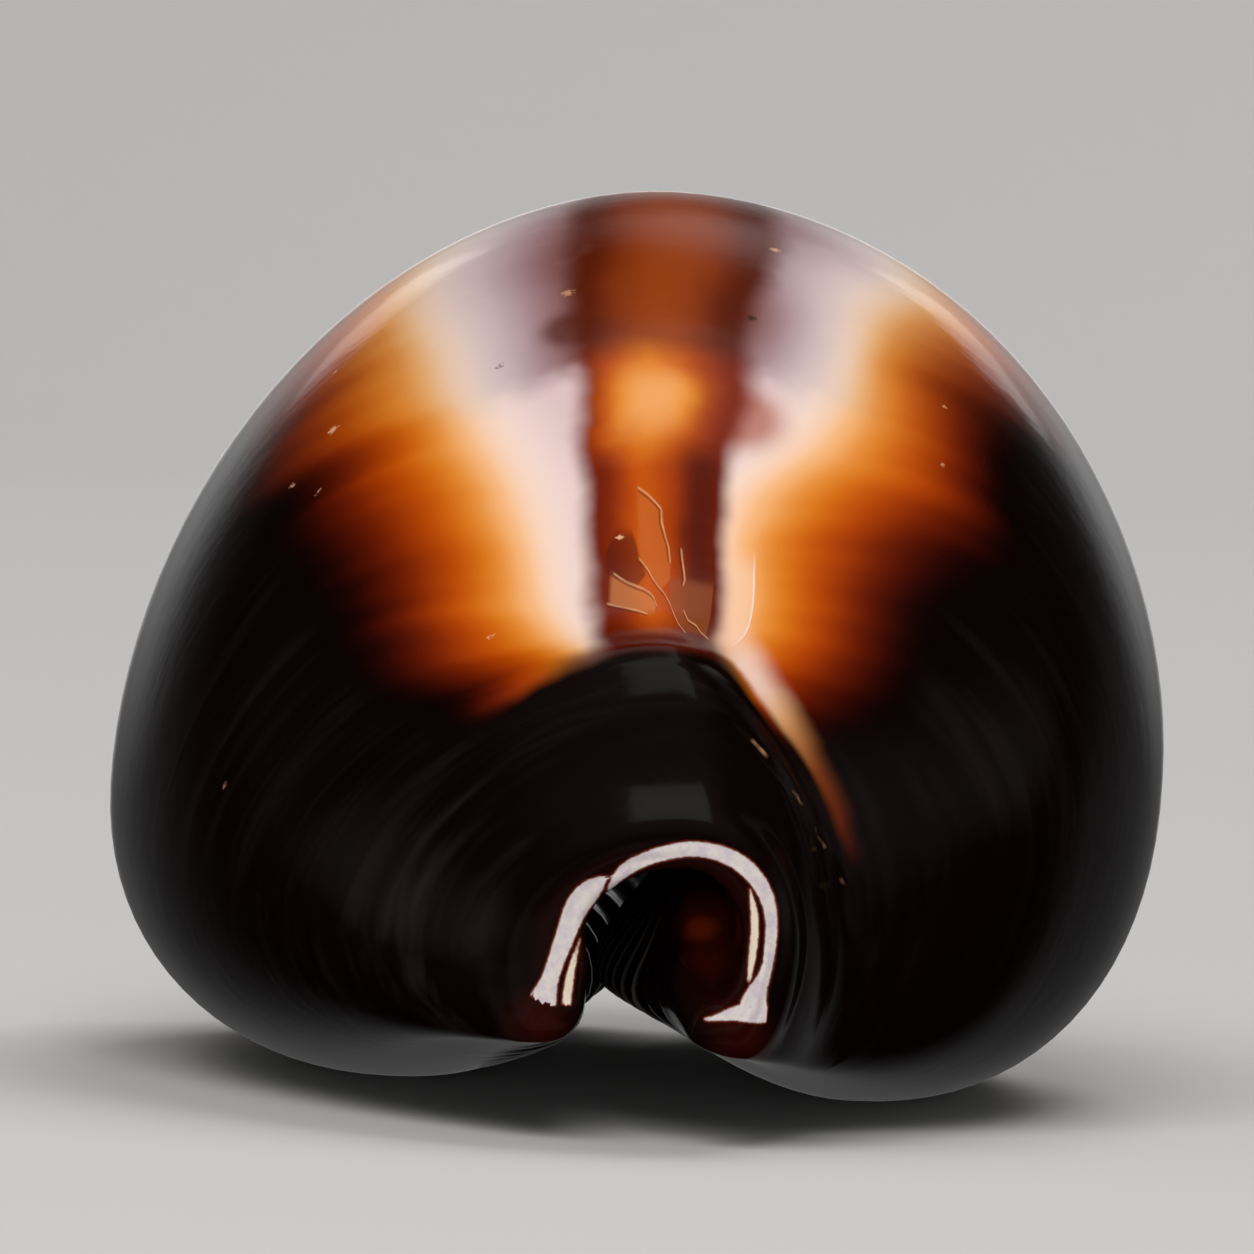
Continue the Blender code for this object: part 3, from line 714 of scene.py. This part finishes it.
class Paint:
    """The nodes of one material or light, added by one method, with the shorthands that the enamel needs."""

    def __init__(self, tree):
        self.nodes = tree.nodes
        self.links = tree.links
        self.nodes.clear()

    def node(self, kind, settings=None, inputs=None):
        """Adds a node, sets its settings and a ramp's stops, then fills its sockets with values or wires."""
        node = self.nodes.new(kind)
        for name, value in (settings or {}).items():
            if name == "stops":
                self.set_stops(node.color_ramp, value)
            else:
                setattr(node, name, value)
        pairs = inputs.items() if isinstance(inputs, dict) else enumerate(inputs or ())
        for key, value in pairs:
            if isinstance(value, Wire):
                self.links.new(value.socket, node.inputs[key])
            else:
                node.inputs[key].default_value = value
        return node

    @staticmethod
    def set_stops(ramp, stops):
        """Sets the stops of a new ramp, as (place, colour) pairs."""
        for n, (place, colour) in enumerate(stops):
            stop = ramp.elements[n] if n < len(ramp.elements) else ramp.elements.new(place)
            stop.position = place
            stop.color = (*colour, 1.0)

    def wire(self, kind, settings=None, inputs=None, output=0):
        """Adds a node and gives one of its outputs."""
        return Wire(self, self.node(kind, settings, inputs).outputs[output])

    def maths(self, operation, *terms):
        """One sum on numbers or wires."""
        return self.wire("ShaderNodeMath", {"operation": operation}, terms)

    def field(self, name):
        """One of the mesh's own fields."""
        settings = {"attribute_type": "GEOMETRY", "attribute_name": name}
        return self.wire("ShaderNodeAttribute", settings, output="Fac")

    def smooth(self, value, low, high):
        """0 up to low, 1 from high on, and a smooth rise between them, or a fall where low is the higher."""
        settings = {"interpolation_type": "SMOOTHSTEP"}
        return self.wire("ShaderNodeMapRange", settings, {"Value": value, "From Min": low, "From Max": high})

    def mix(self, share, below, above):
        """A blend of two colours: below where share is 0 and above where it is 1."""
        colours = [part if isinstance(part, Wire) else (*part, 1.0) for part in (below, above)]
        settings = {"data_type": "RGBA"}
        return self.wire("ShaderNodeMix", settings, {0: share, 6: colours[0], 7: colours[1]}, output=2)

    def ramp(self, value, colours, stops):
        """Colours at values of any range, with smooth passages. A stop is a value and a colour's name."""
        low, high = stops[0][0], stops[-1][0]
        share = (value - low) / (high - low)
        places = [((place - low) / (high - low), getattr(colours, name)) for place, name in stops]
        ramp = self.node("ShaderNodeValToRGB", {"stops": places}, [share])
        ramp.color_ramp.interpolation = "B_SPLINE"
        return Wire(self, ramp.outputs[0])

    def trace(self, at, points):
        """The height of a line of straight pieces through the points, held at its ends beyond them."""
        places, heights = zip(*points)
        reach, low, span = places[-1] - places[0], min(heights), max(heights) - min(heights)
        stops = [((place - places[0]) / reach, ((height - low) / span,) * 3) for place, height in points]
        return self.wire("ShaderNodeValToRGB", {"stops": stops}, [(at - places[0]) / reach]) * span + low

    def between(self, value, low, high, soft):
        """1 from low to high and 0 beyond them, over a passage as wide as soft at each end."""
        rise = self.smooth(value, low - soft / 2, low + soft / 2)
        return rise * self.smooth(value, high + soft / 2, high - soft / 2)

    def crack(self, at, height, points, width):
        """Two shares, each 1 on a line and 0 a width from it: a traced line and its shadow just below it."""
        above = height - self.trace(at, points)
        ends = self.between(at, points[0][0], points[-1][0], width * 2)
        line, shadow = abs(above), abs(above + width * 1.5)
        return [self.smooth(away, width, width * 0.2) * ends for away in (line, shadow)]

    def near_point(self, place, point, reach):
        """1 close round a point and 0 further than its reach from it."""
        settings = {"operation": "DISTANCE"}
        distance = self.wire("ShaderNodeVectorMath", settings, {0: place, 1: point}, output="Value")
        return self.smooth(distance, reach, reach * 0.3)

    def vector(self, across, along, up):
        """A vector of three numbers or wires."""
        return self.wire("ShaderNodeCombineXYZ", {}, [across, along, up])

    def noise(self, name, place):
        """Noise from 0 to 1, with the grain of that name."""
        scale, detail, roughness = GRAINS[name]
        inputs = {"Vector": place, "Scale": scale, "Detail": detail, "Roughness": roughness}
        return self.wire("ShaderNodeTexNoise", {}, inputs, output="Fac")


def new_material(name):
    """An empty material and the paint for its nodes."""
    material = bpy.data.materials.new(name)
    material.use_nodes = True
    return material, Paint(material.node_tree)


def flanks(paint, colours, flank, zone):
    """Colours outward from the middle band: pale, gold, amber and dark. The lilac zones are duller."""
    bright = paint.ramp(flank, colours, BRIGHT_FLANK)
    return paint.mix(zone, bright, paint.ramp(flank, colours, LILAC_FLANK))


def middle_band(paint, colours, band, zone, along):
    """Colours of the band down the middle: dark borders, an amber window and a toffee-brown rear."""
    bright = paint.ramp(band, colours, BRIGHT_BAND)
    colour = paint.mix(zone, bright, paint.ramp(band, colours, LILAC_BAND))
    window, heart = paint.ramp(band, colours, WINDOW_COLOURS), paint.ramp(band, colours, HEART_COLOURS)
    window = paint.mix(paint.between(along, *WINDOW_HEART), window, heart)
    colour = paint.mix(paint.between(along, *WINDOW), colour, window)
    return paint.mix(paint.smooth(along, *BAND_START), colour, colours.maroon)


def back_colours(paint, colours, place, along, turn, wobble):
    """The back: pale and amber flanks in slanting feathers, the band down the middle and the cross zones."""
    drift = along - abs(turn) * FEATHER_SLANT
    lobes = paint.noise("lobes", paint.vector(drift, turn * 0.12, 0.0)) - 0.5
    feather = paint.noise("feather", paint.vector(drift, turn * 0.1, 7.0)) - 0.5
    flank = paint.field("flank")
    outer = paint.smooth(flank, -0.1, 0.6)
    spread = flank + (lobes * 0.45 + feather * 0.16) * outer + lobes * 0.08
    quick = paint.smooth(paint.field("zone") + wobble * 1.2, 0.1, 0.9)
    slow = paint.smooth(along, *LILAC_START) * paint.smooth(along, *LILAC_END)
    slow = slow + paint.smooth(along, *REAR_LILAC)
    zone = quick + (slow - quick) * paint.smooth(flank, 0.0, 0.35)
    ground = flanks(paint, colours, spread, zone)
    for point, reach, strength, name in STAINS:
        stain = paint.near_point(place, point, reach) ** 2 * strength
        ground = paint.mix(stain, ground, getattr(colours, name))
    band = paint.field("band") + wobble * 0.12
    middle = middle_band(paint, colours, band, quick, along + wobble * 0.7)
    return paint.mix(paint.between(band, -0.01, 1.0, 0.18), ground, middle)


def cracked_enamel(paint, colours, colour, along, turn, worn):
    """The cracked enamel behind the callus: plates and a pale flap, with bright lines between them."""
    for name, left, right in PLATES:
        inside = paint.smooth(turn - paint.trace(along, left), -0.10, 0.10)
        inside = inside * paint.smooth(paint.trace(along, right) - turn, -0.04, 0.06)
        inside = inside * paint.between(along, left[0][0], left[-1][0], 0.4)
        colour = paint.mix(inside * COVER["plate"], colour, getattr(colours, name))
    from_edge = paint.trace(along, FLAP_EDGE) - turn
    flap = paint.smooth(from_edge, -0.03, 0.03) * paint.smooth(from_edge, 1.5, 0.4)
    flap = flap * paint.between(along, *FLAP_LENGTH)
    colour = paint.mix(flap * COVER["flap"], colour, colours.shell_pink)
    # A thin cream line along the flap's right edge: partly its paler edge, partly a painted glint
    colour = paint.mix(flap * paint.smooth(from_edge, 0.09, 0.02), colour, colours.cream)
    cracks = [paint.crack(turn, along, points, CRACK_WIDTH) for points in LEVEL_CRACKS]
    cracks += [paint.crack(along, turn, points, STEEP_CRACK_WIDTH) for points in STEEP_CRACKS]
    bright, dark = cracks[0]
    for line, shadow in cracks[1:]:
        bright, dark = paint.maths("MAXIMUM", bright, line), paint.maths("MAXIMUM", dark, shadow)
    colour = paint.mix(dark * COVER["crack_shadow"], colour, colours.maroon)
    return paint.mix(bright * (0.1 + 0.8 * worn), colour, colours.crack)


def callus_colours(paint, colours, colour, turn, wobble, haze):
    """The dark callus over the snout, its soft red edge, a painted ring of grey reflection and the pale
    streak down its right side.
    """
    callus = paint.field("callus") + wobble * 0.5
    width = 2.0 - (turn - 4.0) * 0.11
    streak = paint.smooth(callus, 0.0, 0.5) * paint.smooth(callus / width, 1.1, 0.4)
    streak = streak * paint.between(turn, *STREAK_TURNS)
    colour = paint.mix(streak * COVER["streak"], colour, paint.ramp(turn, colours, STREAK_COLOURS))
    edge = paint.smooth(callus, 1.2, 0.1) * (1 - streak) * paint.smooth(abs(turn), 7.0, 4.0)
    colour = paint.mix(edge * COVER["callus_edge"], colour, colours.maroon)
    # Painted reflection: a grey ring past the callus's edge, broken into streaks by the haze, stands in for
    # light mirrored by the hood
    ring = paint.between(paint.field("callus"), *PAINTED_SHEEN_RING) * 0.5 + 0.12
    callus_with_sheen = paint.mix(haze * ring, colours.onyx, colours.smoke_and_sheen)
    return paint.mix(paint.smooth(callus, 0.35, -0.35), colour, callus_with_sheen)


def crease_glints(paint, colours, colour, turn, worn):
    """Painted glints: short bright breaks along the crease on the snout's right flank."""
    line = paint.smooth(abs(paint.field("crease") - 0.04), 0.05, 0.01)
    broken = paint.smooth(worn, 0.5, 0.75) * paint.between(turn, *GLINT_TURNS)
    return paint.mix(line * broken * COVER["glint"], colour, colours.crack)


def mouth_colours(paint, colours, colour, place):
    """Inside of the canal: dark, with a red-brown glow on the inner fold and dark red feet under the rim."""
    inside = paint.field("inside")
    colour = paint.mix(paint.smooth(inside, 0.1, 0.9), colour, colours.canal)
    glow = paint.near_point(place, *FOLD_GLOW) * paint.smooth(inside, 0.5, 0.9)
    colour = paint.mix(glow, colour, colours.garnet_glow)
    core = paint.near_point(place, *FOLD_CORE) * glow
    colour = paint.mix(core * COVER["fold_core"], colour, colours.chestnut)
    for point, reach in RIM_FEET:
        foot = paint.near_point(place, point, reach) * COVER["rim_foot"]
        colour = paint.mix(foot, colour, colours.garnet)
    return colour


def tooth_colours(paint, colours, colour, turn):
    """Dark red grooves, and thin grey painted highlights on the crests, which run on a little way beyond the
    teeth.
    """
    grooves = paint.smooth(paint.field("tooth"), 0.1, -0.6)
    colour = paint.mix(grooves * COVER["groove"], colour, colours.garnet)
    # Painted highlights: thin grey lines on the crests of the teeth
    painted_crest_highlights = paint.smooth(paint.field("wave"), 0.5, 0.95) * paint.smooth(abs(turn), 42.3, 44.5)
    return paint.mix(painted_crest_highlights * COVER["crest"], colour, colours.crest_highlight)


def bared_shell(paint, colours, colour, place):
    """Strips of pale mottled shell on the front rim, with thin brown edges."""
    ragged = (paint.noise("ragged", place) - 0.5) * 0.05
    mottle = paint.noise("mottle", place)
    pale = paint.mix(paint.smooth(mottle, 0.35, 0.7), colours.bared, colours.bared_lilac)
    for name, shade in (("bared", pale), ("cream", colours.bared_cream)):
        distance = paint.field(name) + ragged
        colour = paint.mix(paint.smooth(distance, 0.04, 0.0), colour, colours.maroon)
        colour = paint.mix(paint.smooth(distance, 0.0, -0.05), colour, shade)
    return colour, paint.smooth(paint.field("bared"), 0.0, -0.05)


def marked_enamel(paint, colours, colour, place):
    """Small scratches and pits."""
    rough = (paint.noise("rough", place) - 0.5) * 1.6
    spots = paint.wire("ShaderNodeVectorMath", {"operation": "MULTIPLY_ADD"},
                       [paint.vector(rough, 0.0, rough), (0.2, 0.2, 0.2), place])
    for point, reach, pale in MARKS:
        tint = colours.crack if pale > 0 else colours.onyx
        colour = paint.mix(paint.near_point(spots, point, reach) * abs(pale), colour, tint)
    return colour


def enamel(colours, finish):
    """Polished enamel of the whole shell, painted from the mesh's fields."""
    material, paint = new_material("onyx_enamel")
    place = paint.wire("ShaderNodeTexCoord", output="Object")
    place = paint.wire("ShaderNodeVectorMath", {"operation": "SCALE"}, {0: place, "Scale": 1 / MILLIMETRE})
    along, turn = paint.field("along"), paint.field("turn")
    wobble = paint.noise("wobble", place) - 0.5
    growth = paint.noise("growth", paint.vector(along, turn * 0.05, 5.0))
    haze = paint.smooth(growth, 0.42, 0.75)
    worn = paint.noise("worn", place)
    colour = back_colours(paint, colours, place, along, turn, wobble)
    colour = cracked_enamel(paint, colours, colour, along, turn, worn)
    colour = callus_colours(paint, colours, colour, turn, wobble, haze)
    colour = crease_glints(paint, colours, colour, turn, worn)
    colour = paint.mix(paint.smooth(along + wobble * 1.5, *REAR_FADE), colour, colours.onyx)
    dark_sides = paint.smooth(paint.field("flank"), 1.2, 1.6)
    colour = paint.mix(dark_sides * haze * COVER["haze"], colour, colours.smoke_and_sheen)
    colour = marked_enamel(paint, colours, colour, place)
    colour = mouth_colours(paint, colours, colour, place)
    colour = tooth_colours(paint, colours, colour, turn)
    colour, bared = bared_shell(paint, colours, colour, place)
    swells = growth * 0.6 + paint.noise("swells", place) * 0.6
    relief = {"Strength": finish.unevenness, "Distance": MILLIMETRE * GROWTH_HEIGHT, "Height": swells}
    roughness = finish.roughness + bared * BARED_ROUGHNESS + paint.field("inside") * INSIDE_ROUGHNESS
    inputs = {"Base Color": colour, "Roughness": roughness, "IOR": finish.ior,
              "Specular IOR Level": finish.specular, "Normal": paint.wire("ShaderNodeBump", {}, relief)}
    shader = paint.wire("ShaderNodeBsdfPrincipled", {}, inputs)
    paint.node("ShaderNodeOutputMaterial", {}, {"Surface": shader})
    return material


def floor_mesh():
    """A round floor that rises gently far from the shell, so that it has no horizon."""
    level = np.linspace(0.05, LEVEL_RADIUS, 6)
    radii = np.concatenate([[0.0], level, np.linspace(LEVEL_RADIUS + 0.05, FLOOR_RADIUS, 30)])
    heights = FLOOR_RISE * np.maximum(radii - LEVEL_RADIUS, 0) ** 2
    turns = np.linspace(0, 2 * np.pi, FLOOR_SIDES + 1)[:-1]
    vertices = [(r * math.cos(a), r * math.sin(a), z) for r, z in zip(radii, heights) for a in turns]
    faces = []
    for ring in range(0, len(vertices) - FLOOR_SIDES, FLOOR_SIDES):
        for i in range(FLOOR_SIDES):
            j = (i + 1) % FLOOR_SIDES
            faces.append((ring + i, ring + FLOOR_SIDES + i, ring + FLOOR_SIDES + j, ring + j))
    mesh = bpy.data.meshes.new("floor")
    mesh.from_pydata(vertices, [], faces)
    mesh.validate()
    mesh.shade_smooth()
    return mesh


def pale_floor(colour):
    """Plain matt paint of the floor."""
    material, paint = new_material("pale_floor")
    inputs = {"Base Color": (*colour, 1.0), "Roughness": 1.0, "Specular IOR Level": 0.0}
    shader = paint.wire("ShaderNodeBsdfPrincipled", {}, inputs)
    paint.node("ShaderNodeOutputMaterial", {}, {"Surface": shader})
    return material


def make_floor(scene, settings):
    """Adds the floor, which the polish doesn't show."""
    floor = bpy.data.objects.new("floor", floor_mesh())
    scene.collection.objects.link(floor)
    floor.data.materials.append(pale_floor(settings.floor_colour))
    floor.visible_glossy = False


def soften(light):
    """Lets a panel's light fade out from its middle, where its own coordinates become 0, to its edges."""
    light.use_nodes = True
    paint = Paint(light.node_tree)
    place = paint.wire("ShaderNodeNewGeometry", output="Parametric")
    settings = {"operation": "MULTIPLY_ADD"}
    place = paint.wire("ShaderNodeVectorMath", settings, [place, (2.0, 2.0, 0.0), (-1.0, -1.0, 0.0)])
    falloff = paint.wire("ShaderNodeTexGradient", {"gradient_type": "SPHERICAL"}, [place], output="Fac")
    shader = paint.wire("ShaderNodeEmission", {}, {"Strength": paint.smooth(falloff, 0.0, 0.9)})
    paint.node("ShaderNodeOutputLight", {}, {"Surface": shader})


def add_panel(scene, name, place, size, power):
    """A soft rectangular light that faces the shell."""
    light = bpy.data.lights.new(name, "AREA")
    light.shape = "RECTANGLE"
    light.size, light.size_y = size
    light.energy = power
    lamp = bpy.data.objects.new(name, light)
    lamp.location = place
    lamp.rotation_euler = (Vector(SHELL_MIDDLE) - Vector(place)).to_track_quat("-Z", "Y").to_euler()
    lamp.visible_camera = False
    lamp.visible_glossy = False
    scene.collection.objects.link(lamp)
    return lamp


def add_mirrored_panel(scene, name, place, size, radiance, soft):
    """A dim panel that only the enamel's polish shows."""
    lamp = add_panel(scene, name, place, size, radiance * math.pi * size[0] * size[1])
    lamp.visible_glossy = True
    lamp.visible_diffuse = False
    if soft:
        soften(lamp.data)


def make_lights(scene):
    """A broad key from the front and above with two fills, and dim panels that the enamel mirrors."""
    for name, (place, size, power) in LAMPS.items():
        add_panel(scene, name, place, size, power)
    for name, (place, size, radiance, soft) in MIRRORED_PANELS.items():
        add_mirrored_panel(scene, name, place, size, radiance, soft)


def make_surround(scene):
    """A dim white surround, which the polish doesn't show."""
    world = bpy.data.worlds.new("surround")
    world.use_nodes = True
    background = world.node_tree.nodes["Background"]
    background.inputs["Color"].default_value = (1.0, 1.0, 1.0, 1.0)
    background.inputs["Strength"].default_value = SURROUND_STRENGTH
    world.cycles_visibility.glossy = False
    scene.world = world


def make_camera(scene):
    """The photograph's view: level with the shell, looking at its front canal, a little rolled."""
    camera = bpy.data.objects.new("camera", bpy.data.cameras.new("camera"))
    elevation = math.radians(CAMERA_ELEVATION)
    back = Vector((0.0, -math.cos(elevation), math.sin(elevation)))
    place = Matrix.Translation(Vector(CAMERA_TARGET) * MILLIMETRE + back * CAMERA_DISTANCE)
    aim = (-back).to_track_quat("-Z", "Y").to_matrix().to_4x4()
    camera.matrix_world = place @ aim @ Matrix.Rotation(math.radians(CAMERA_ROLL), 4, "Z")
    camera.data.sensor_width = SENSOR_WIDTH
    camera.data.lens = SENSOR_WIDTH * CAMERA_DISTANCE / CAMERA_WIDTH
    camera.data.clip_start = 0.001
    scene.collection.objects.link(camera)
    scene.camera = camera


def colour_property(name, description, default):
    return FloatVectorProperty(
        name=name, description=description, default=default, subtype="COLOR", size=3, min=0.0, max=1.0)


def length_property(name, description, default):
    return FloatProperty(
        name=name, description=description, default=default, unit="LENGTH", subtype="DISTANCE", precision=5)


class CowrieForm(PropertyGroup):
    """Sizes of the shell's details. Its length, width and height come from the frame."""

    rim_radius: length_property("Rim radius", "Rounding of the canals' rims", 0.0003)
    lip_share: FloatProperty(
        name="Lip share", description="Share of the rounding that the thin lips do without", default=0.6)
    rim_swell: length_property("Rim swell", "How far the middle of a canal's rim stands out", 0.00012)
    tooth_height: length_property("Tooth height", "From a groove to a tooth's crest", 0.00045)
    teeth: IntProperty(name="Teeth", description="Teeth on each lip", default=20, min=1)
    tooth_sharpness: FloatProperty(
        name="Tooth sharpness", description="1 for even ridges, more for narrower crests", default=1.6, min=1)
    teeth_start: length_property("Teeth start", "First tooth's distance from the front tip", 0.0030)
    teeth_end: length_property("Teeth end", "Last tooth's distance from the front tip", 0.0390)
    teeth_fade: FloatProperty(
        name="Teeth fade", description="Share of the toothed length over which they grow", default=0.125)
    rim_lean: FloatProperty(name="Rim lean", description="Slope by which the rims lean back", default=0.25)
    lean_reach: length_property("Lean reach", "Distance over which the lean fades", 0.0040)
    callus_height: length_property("Callus height", "Thickness of the callus over the snout", 0.00012)
    crease_height: length_property("Crease height", "Step of the callus on the snout's right flank", 0.00018)


class CowrieColours(PropertyGroup):
    """Colours of the enamel."""

    onyx: colour_property("Onyx", "Margins, callus and base", (0.0018, 0.0009, 0.0007))
    # Grey of the faint streaks on the dark sides and of the painted reflection on the callus
    smoke_and_sheen: colour_property("Smoke", "Hazy growth streaks of the margins", (0.014, 0.011, 0.010))
    maroon: colour_property("Maroon", "Darkest brown of the middle band", (0.085, 0.0070, 0.0012))
    garnet: colour_property("Garnet", "First tint of red out of the margins", (0.040, 0.0030, 0.0010))
    mahogany: colour_property("Mahogany", "Where the flanks fade into the margins", (0.155, 0.0110, 0.0008))
    chestnut: colour_property("Chestnut", "Lower flanks", (0.37, 0.040, 0.0010))
    rust: colour_property("Rust", "Middle band beside its borders", (0.44, 0.062, 0.0012))
    amber: colour_property("Amber", "Flanks", (0.57, 0.095, 0.0015))
    gold: colour_property("Gold", "Upper flanks", (0.80, 0.26, 0.015))
    honey: colour_property("Honey", "Heart of the middle band's window", (0.84, 0.36, 0.11))
    peach: colour_property("Peach", "Outer edge of the pale bands", (0.93, 0.50, 0.22))
    shell_pink: colour_property("Shell pink", "Outer side of the pale bands", (0.93, 0.63, 0.46))
    cream: colour_property("Cream", "Pale bands", (0.90, 0.71, 0.64))
    blush: colour_property("Blush", "Inner edge of the pale bands", (0.68, 0.50, 0.51))
    ivory: colour_property("Ivory", "Outer side of the pale bands in the lilac zones", (0.84, 0.60, 0.44))
    pearl: colour_property("Pearl", "Pale bands in the lilac zones", (0.74, 0.59, 0.57))
    lilac: colour_property("Lilac", "Inner side of the pale bands in the lilac zones", (0.43, 0.30, 0.335))
    mauve: colour_property("Mauve", "Beside the middle band in the lilac zones", (0.24, 0.095, 0.085))
    fawn: colour_property("Fawn", "Inner side of the flanks in the lilac zones", (0.79, 0.43, 0.18))
    ochre: colour_property("Ochre", "Upper flanks in the lilac zones", (0.68, 0.24, 0.035))
    russet: colour_property("Russet", "Flanks in the lilac zones", (0.40, 0.080, 0.0060))
    umber: colour_property("Umber", "Lower flanks in the lilac zones", (0.20, 0.026, 0.0025))
    walnut: colour_property("Walnut", "Borders of the band in the lilac zones", (0.085, 0.0100, 0.0020))
    toffee: colour_property("Toffee", "Middle band in the lilac zones", (0.29, 0.047, 0.0035))
    plate_tan: colour_property("Plate tan", "Palest cracked plate", (0.58, 0.20, 0.060))
    plate_amber: colour_property("Plate amber", "Largest cracked plate", (0.55, 0.13, 0.022))
    plate_brown: colour_property("Plate brown", "Darkest cracked plate", (0.30, 0.075, 0.020))
    tan: colour_property("Tan", "Lower part of the streak beside the callus", (0.50, 0.19, 0.055))
    # Also the colour of the painted glints along the crease
    crack: colour_property("Crack", "Bright lines of the cracks and scratches", (0.78, 0.41, 0.20))
    # Grey of the painted highlights on the teeth's crests
    crest_highlight: colour_property("Horn", "Crests of the teeth", (0.13, 0.11, 0.10))
    canal: colour_property("Canal", "Inside of the canals and the chamber", (0.009, 0.0014, 0.0007))
    garnet_glow: colour_property("Garnet glow", "Inner fold seen through the canal", (0.055, 0.005, 0.001))
    bared: colour_property("Bared", "Pale shell bared on the front rim", (0.60, 0.54, 0.50))
    bared_lilac: colour_property("Bared lilac", "Mottling of the bared shell", (0.50, 0.43, 0.47))
    bared_cream: colour_property("Bared cream", "Inner strips of the bared shell", (0.66, 0.56, 0.44))


class CowrieFinish(PropertyGroup):
    """Polish of the enamel."""

    roughness: FloatProperty(
        name="Roughness", description="Roughness of the polish", default=0.13, min=0.0, max=1.0)
    ior: FloatProperty(name="IOR", description="Refractive index of the polish", default=1.4, min=1.0)
    specular: FloatProperty(
        name="Specular level", description="Strength of reflections", default=0.3, min=0.0, max=1.0)
    unevenness: FloatProperty(
        name="Unevenness", description="Strength of the growth lines' relief", default=0.5, min=0.0, max=1.0)


class CowrieStage(PropertyGroup):
    """Colour of the floor."""

    floor_colour: colour_property("Floor colour", "Pale floor", (0.62, 0.61, 0.60))


class CowrieSettings(PropertyGroup):
    """Everything that a user may change."""

    form: PointerProperty(type=CowrieForm)
    colours: PointerProperty(type=CowrieColours)
    finish: PointerProperty(type=CowrieFinish)
    stage: PointerProperty(type=CowrieStage)


class COWRIE_OT_grow_shell(Operator):
    """Grow the shell: one mesh from tip to tip, in its enamel"""

    bl_idname = "cowrie.grow_shell"
    bl_label = "Grow Shell"

    def execute(self, context):
        settings = context.scene.cowrie
        shell = bpy.data.objects.new("shell_enamelled", shell_mesh(settings.form))
        context.scene.collection.objects.link(shell)
        shell.data.materials.append(enamel(settings.colours, settings.finish))
        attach(shell, "root")
        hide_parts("shell")
        return {"FINISHED"}


class COWRIE_OT_set_stage(Operator):
    """Set the stage: a pale floor, soft lights and the camera"""

    bl_idname = "cowrie.set_stage"
    bl_label = "Set Stage"

    def execute(self, context):
        settings = context.scene.cowrie.stage
        make_floor(context.scene, settings)
        make_lights(context.scene)
        make_surround(context.scene)
        make_camera(context.scene)
        context.scene.view_settings.view_transform = "Standard"
        return {"FINISHED"}


class COWRIE_PT_shell(Panel):
    """The shell's settings and steps"""

    bl_label = "Onyx Cowrie Shell"
    bl_idname = "COWRIE_PT_shell"
    bl_space_type = "VIEW_3D"
    bl_region_type = "UI"
    bl_category = "Cowrie"

    def draw(self, context):
        settings = context.scene.cowrie
        for group in (settings.form, settings.colours, settings.finish, settings.stage):
            box = self.layout.box()
            for name in group.__annotations__:
                box.prop(group, name)
        self.layout.operator(COWRIE_OT_grow_shell.bl_idname)
        self.layout.operator(COWRIE_OT_set_stage.bl_idname)


CLASSES = (CowrieForm, CowrieColours, CowrieFinish, CowrieStage, CowrieSettings,
           COWRIE_OT_grow_shell, COWRIE_OT_set_stage, COWRIE_PT_shell)


def register():
    for cls in CLASSES:
        bpy.utils.register_class(cls)
    bpy.types.Scene.cowrie = PointerProperty(type=CowrieSettings)


def unregister():
    del bpy.types.Scene.cowrie
    for cls in reversed(CLASSES):
        bpy.utils.unregister_class(cls)


def main():
    register()
    bpy.ops.cowrie.grow_shell()
    bpy.ops.cowrie.set_stage()


if __name__ == "__main__":
    main()
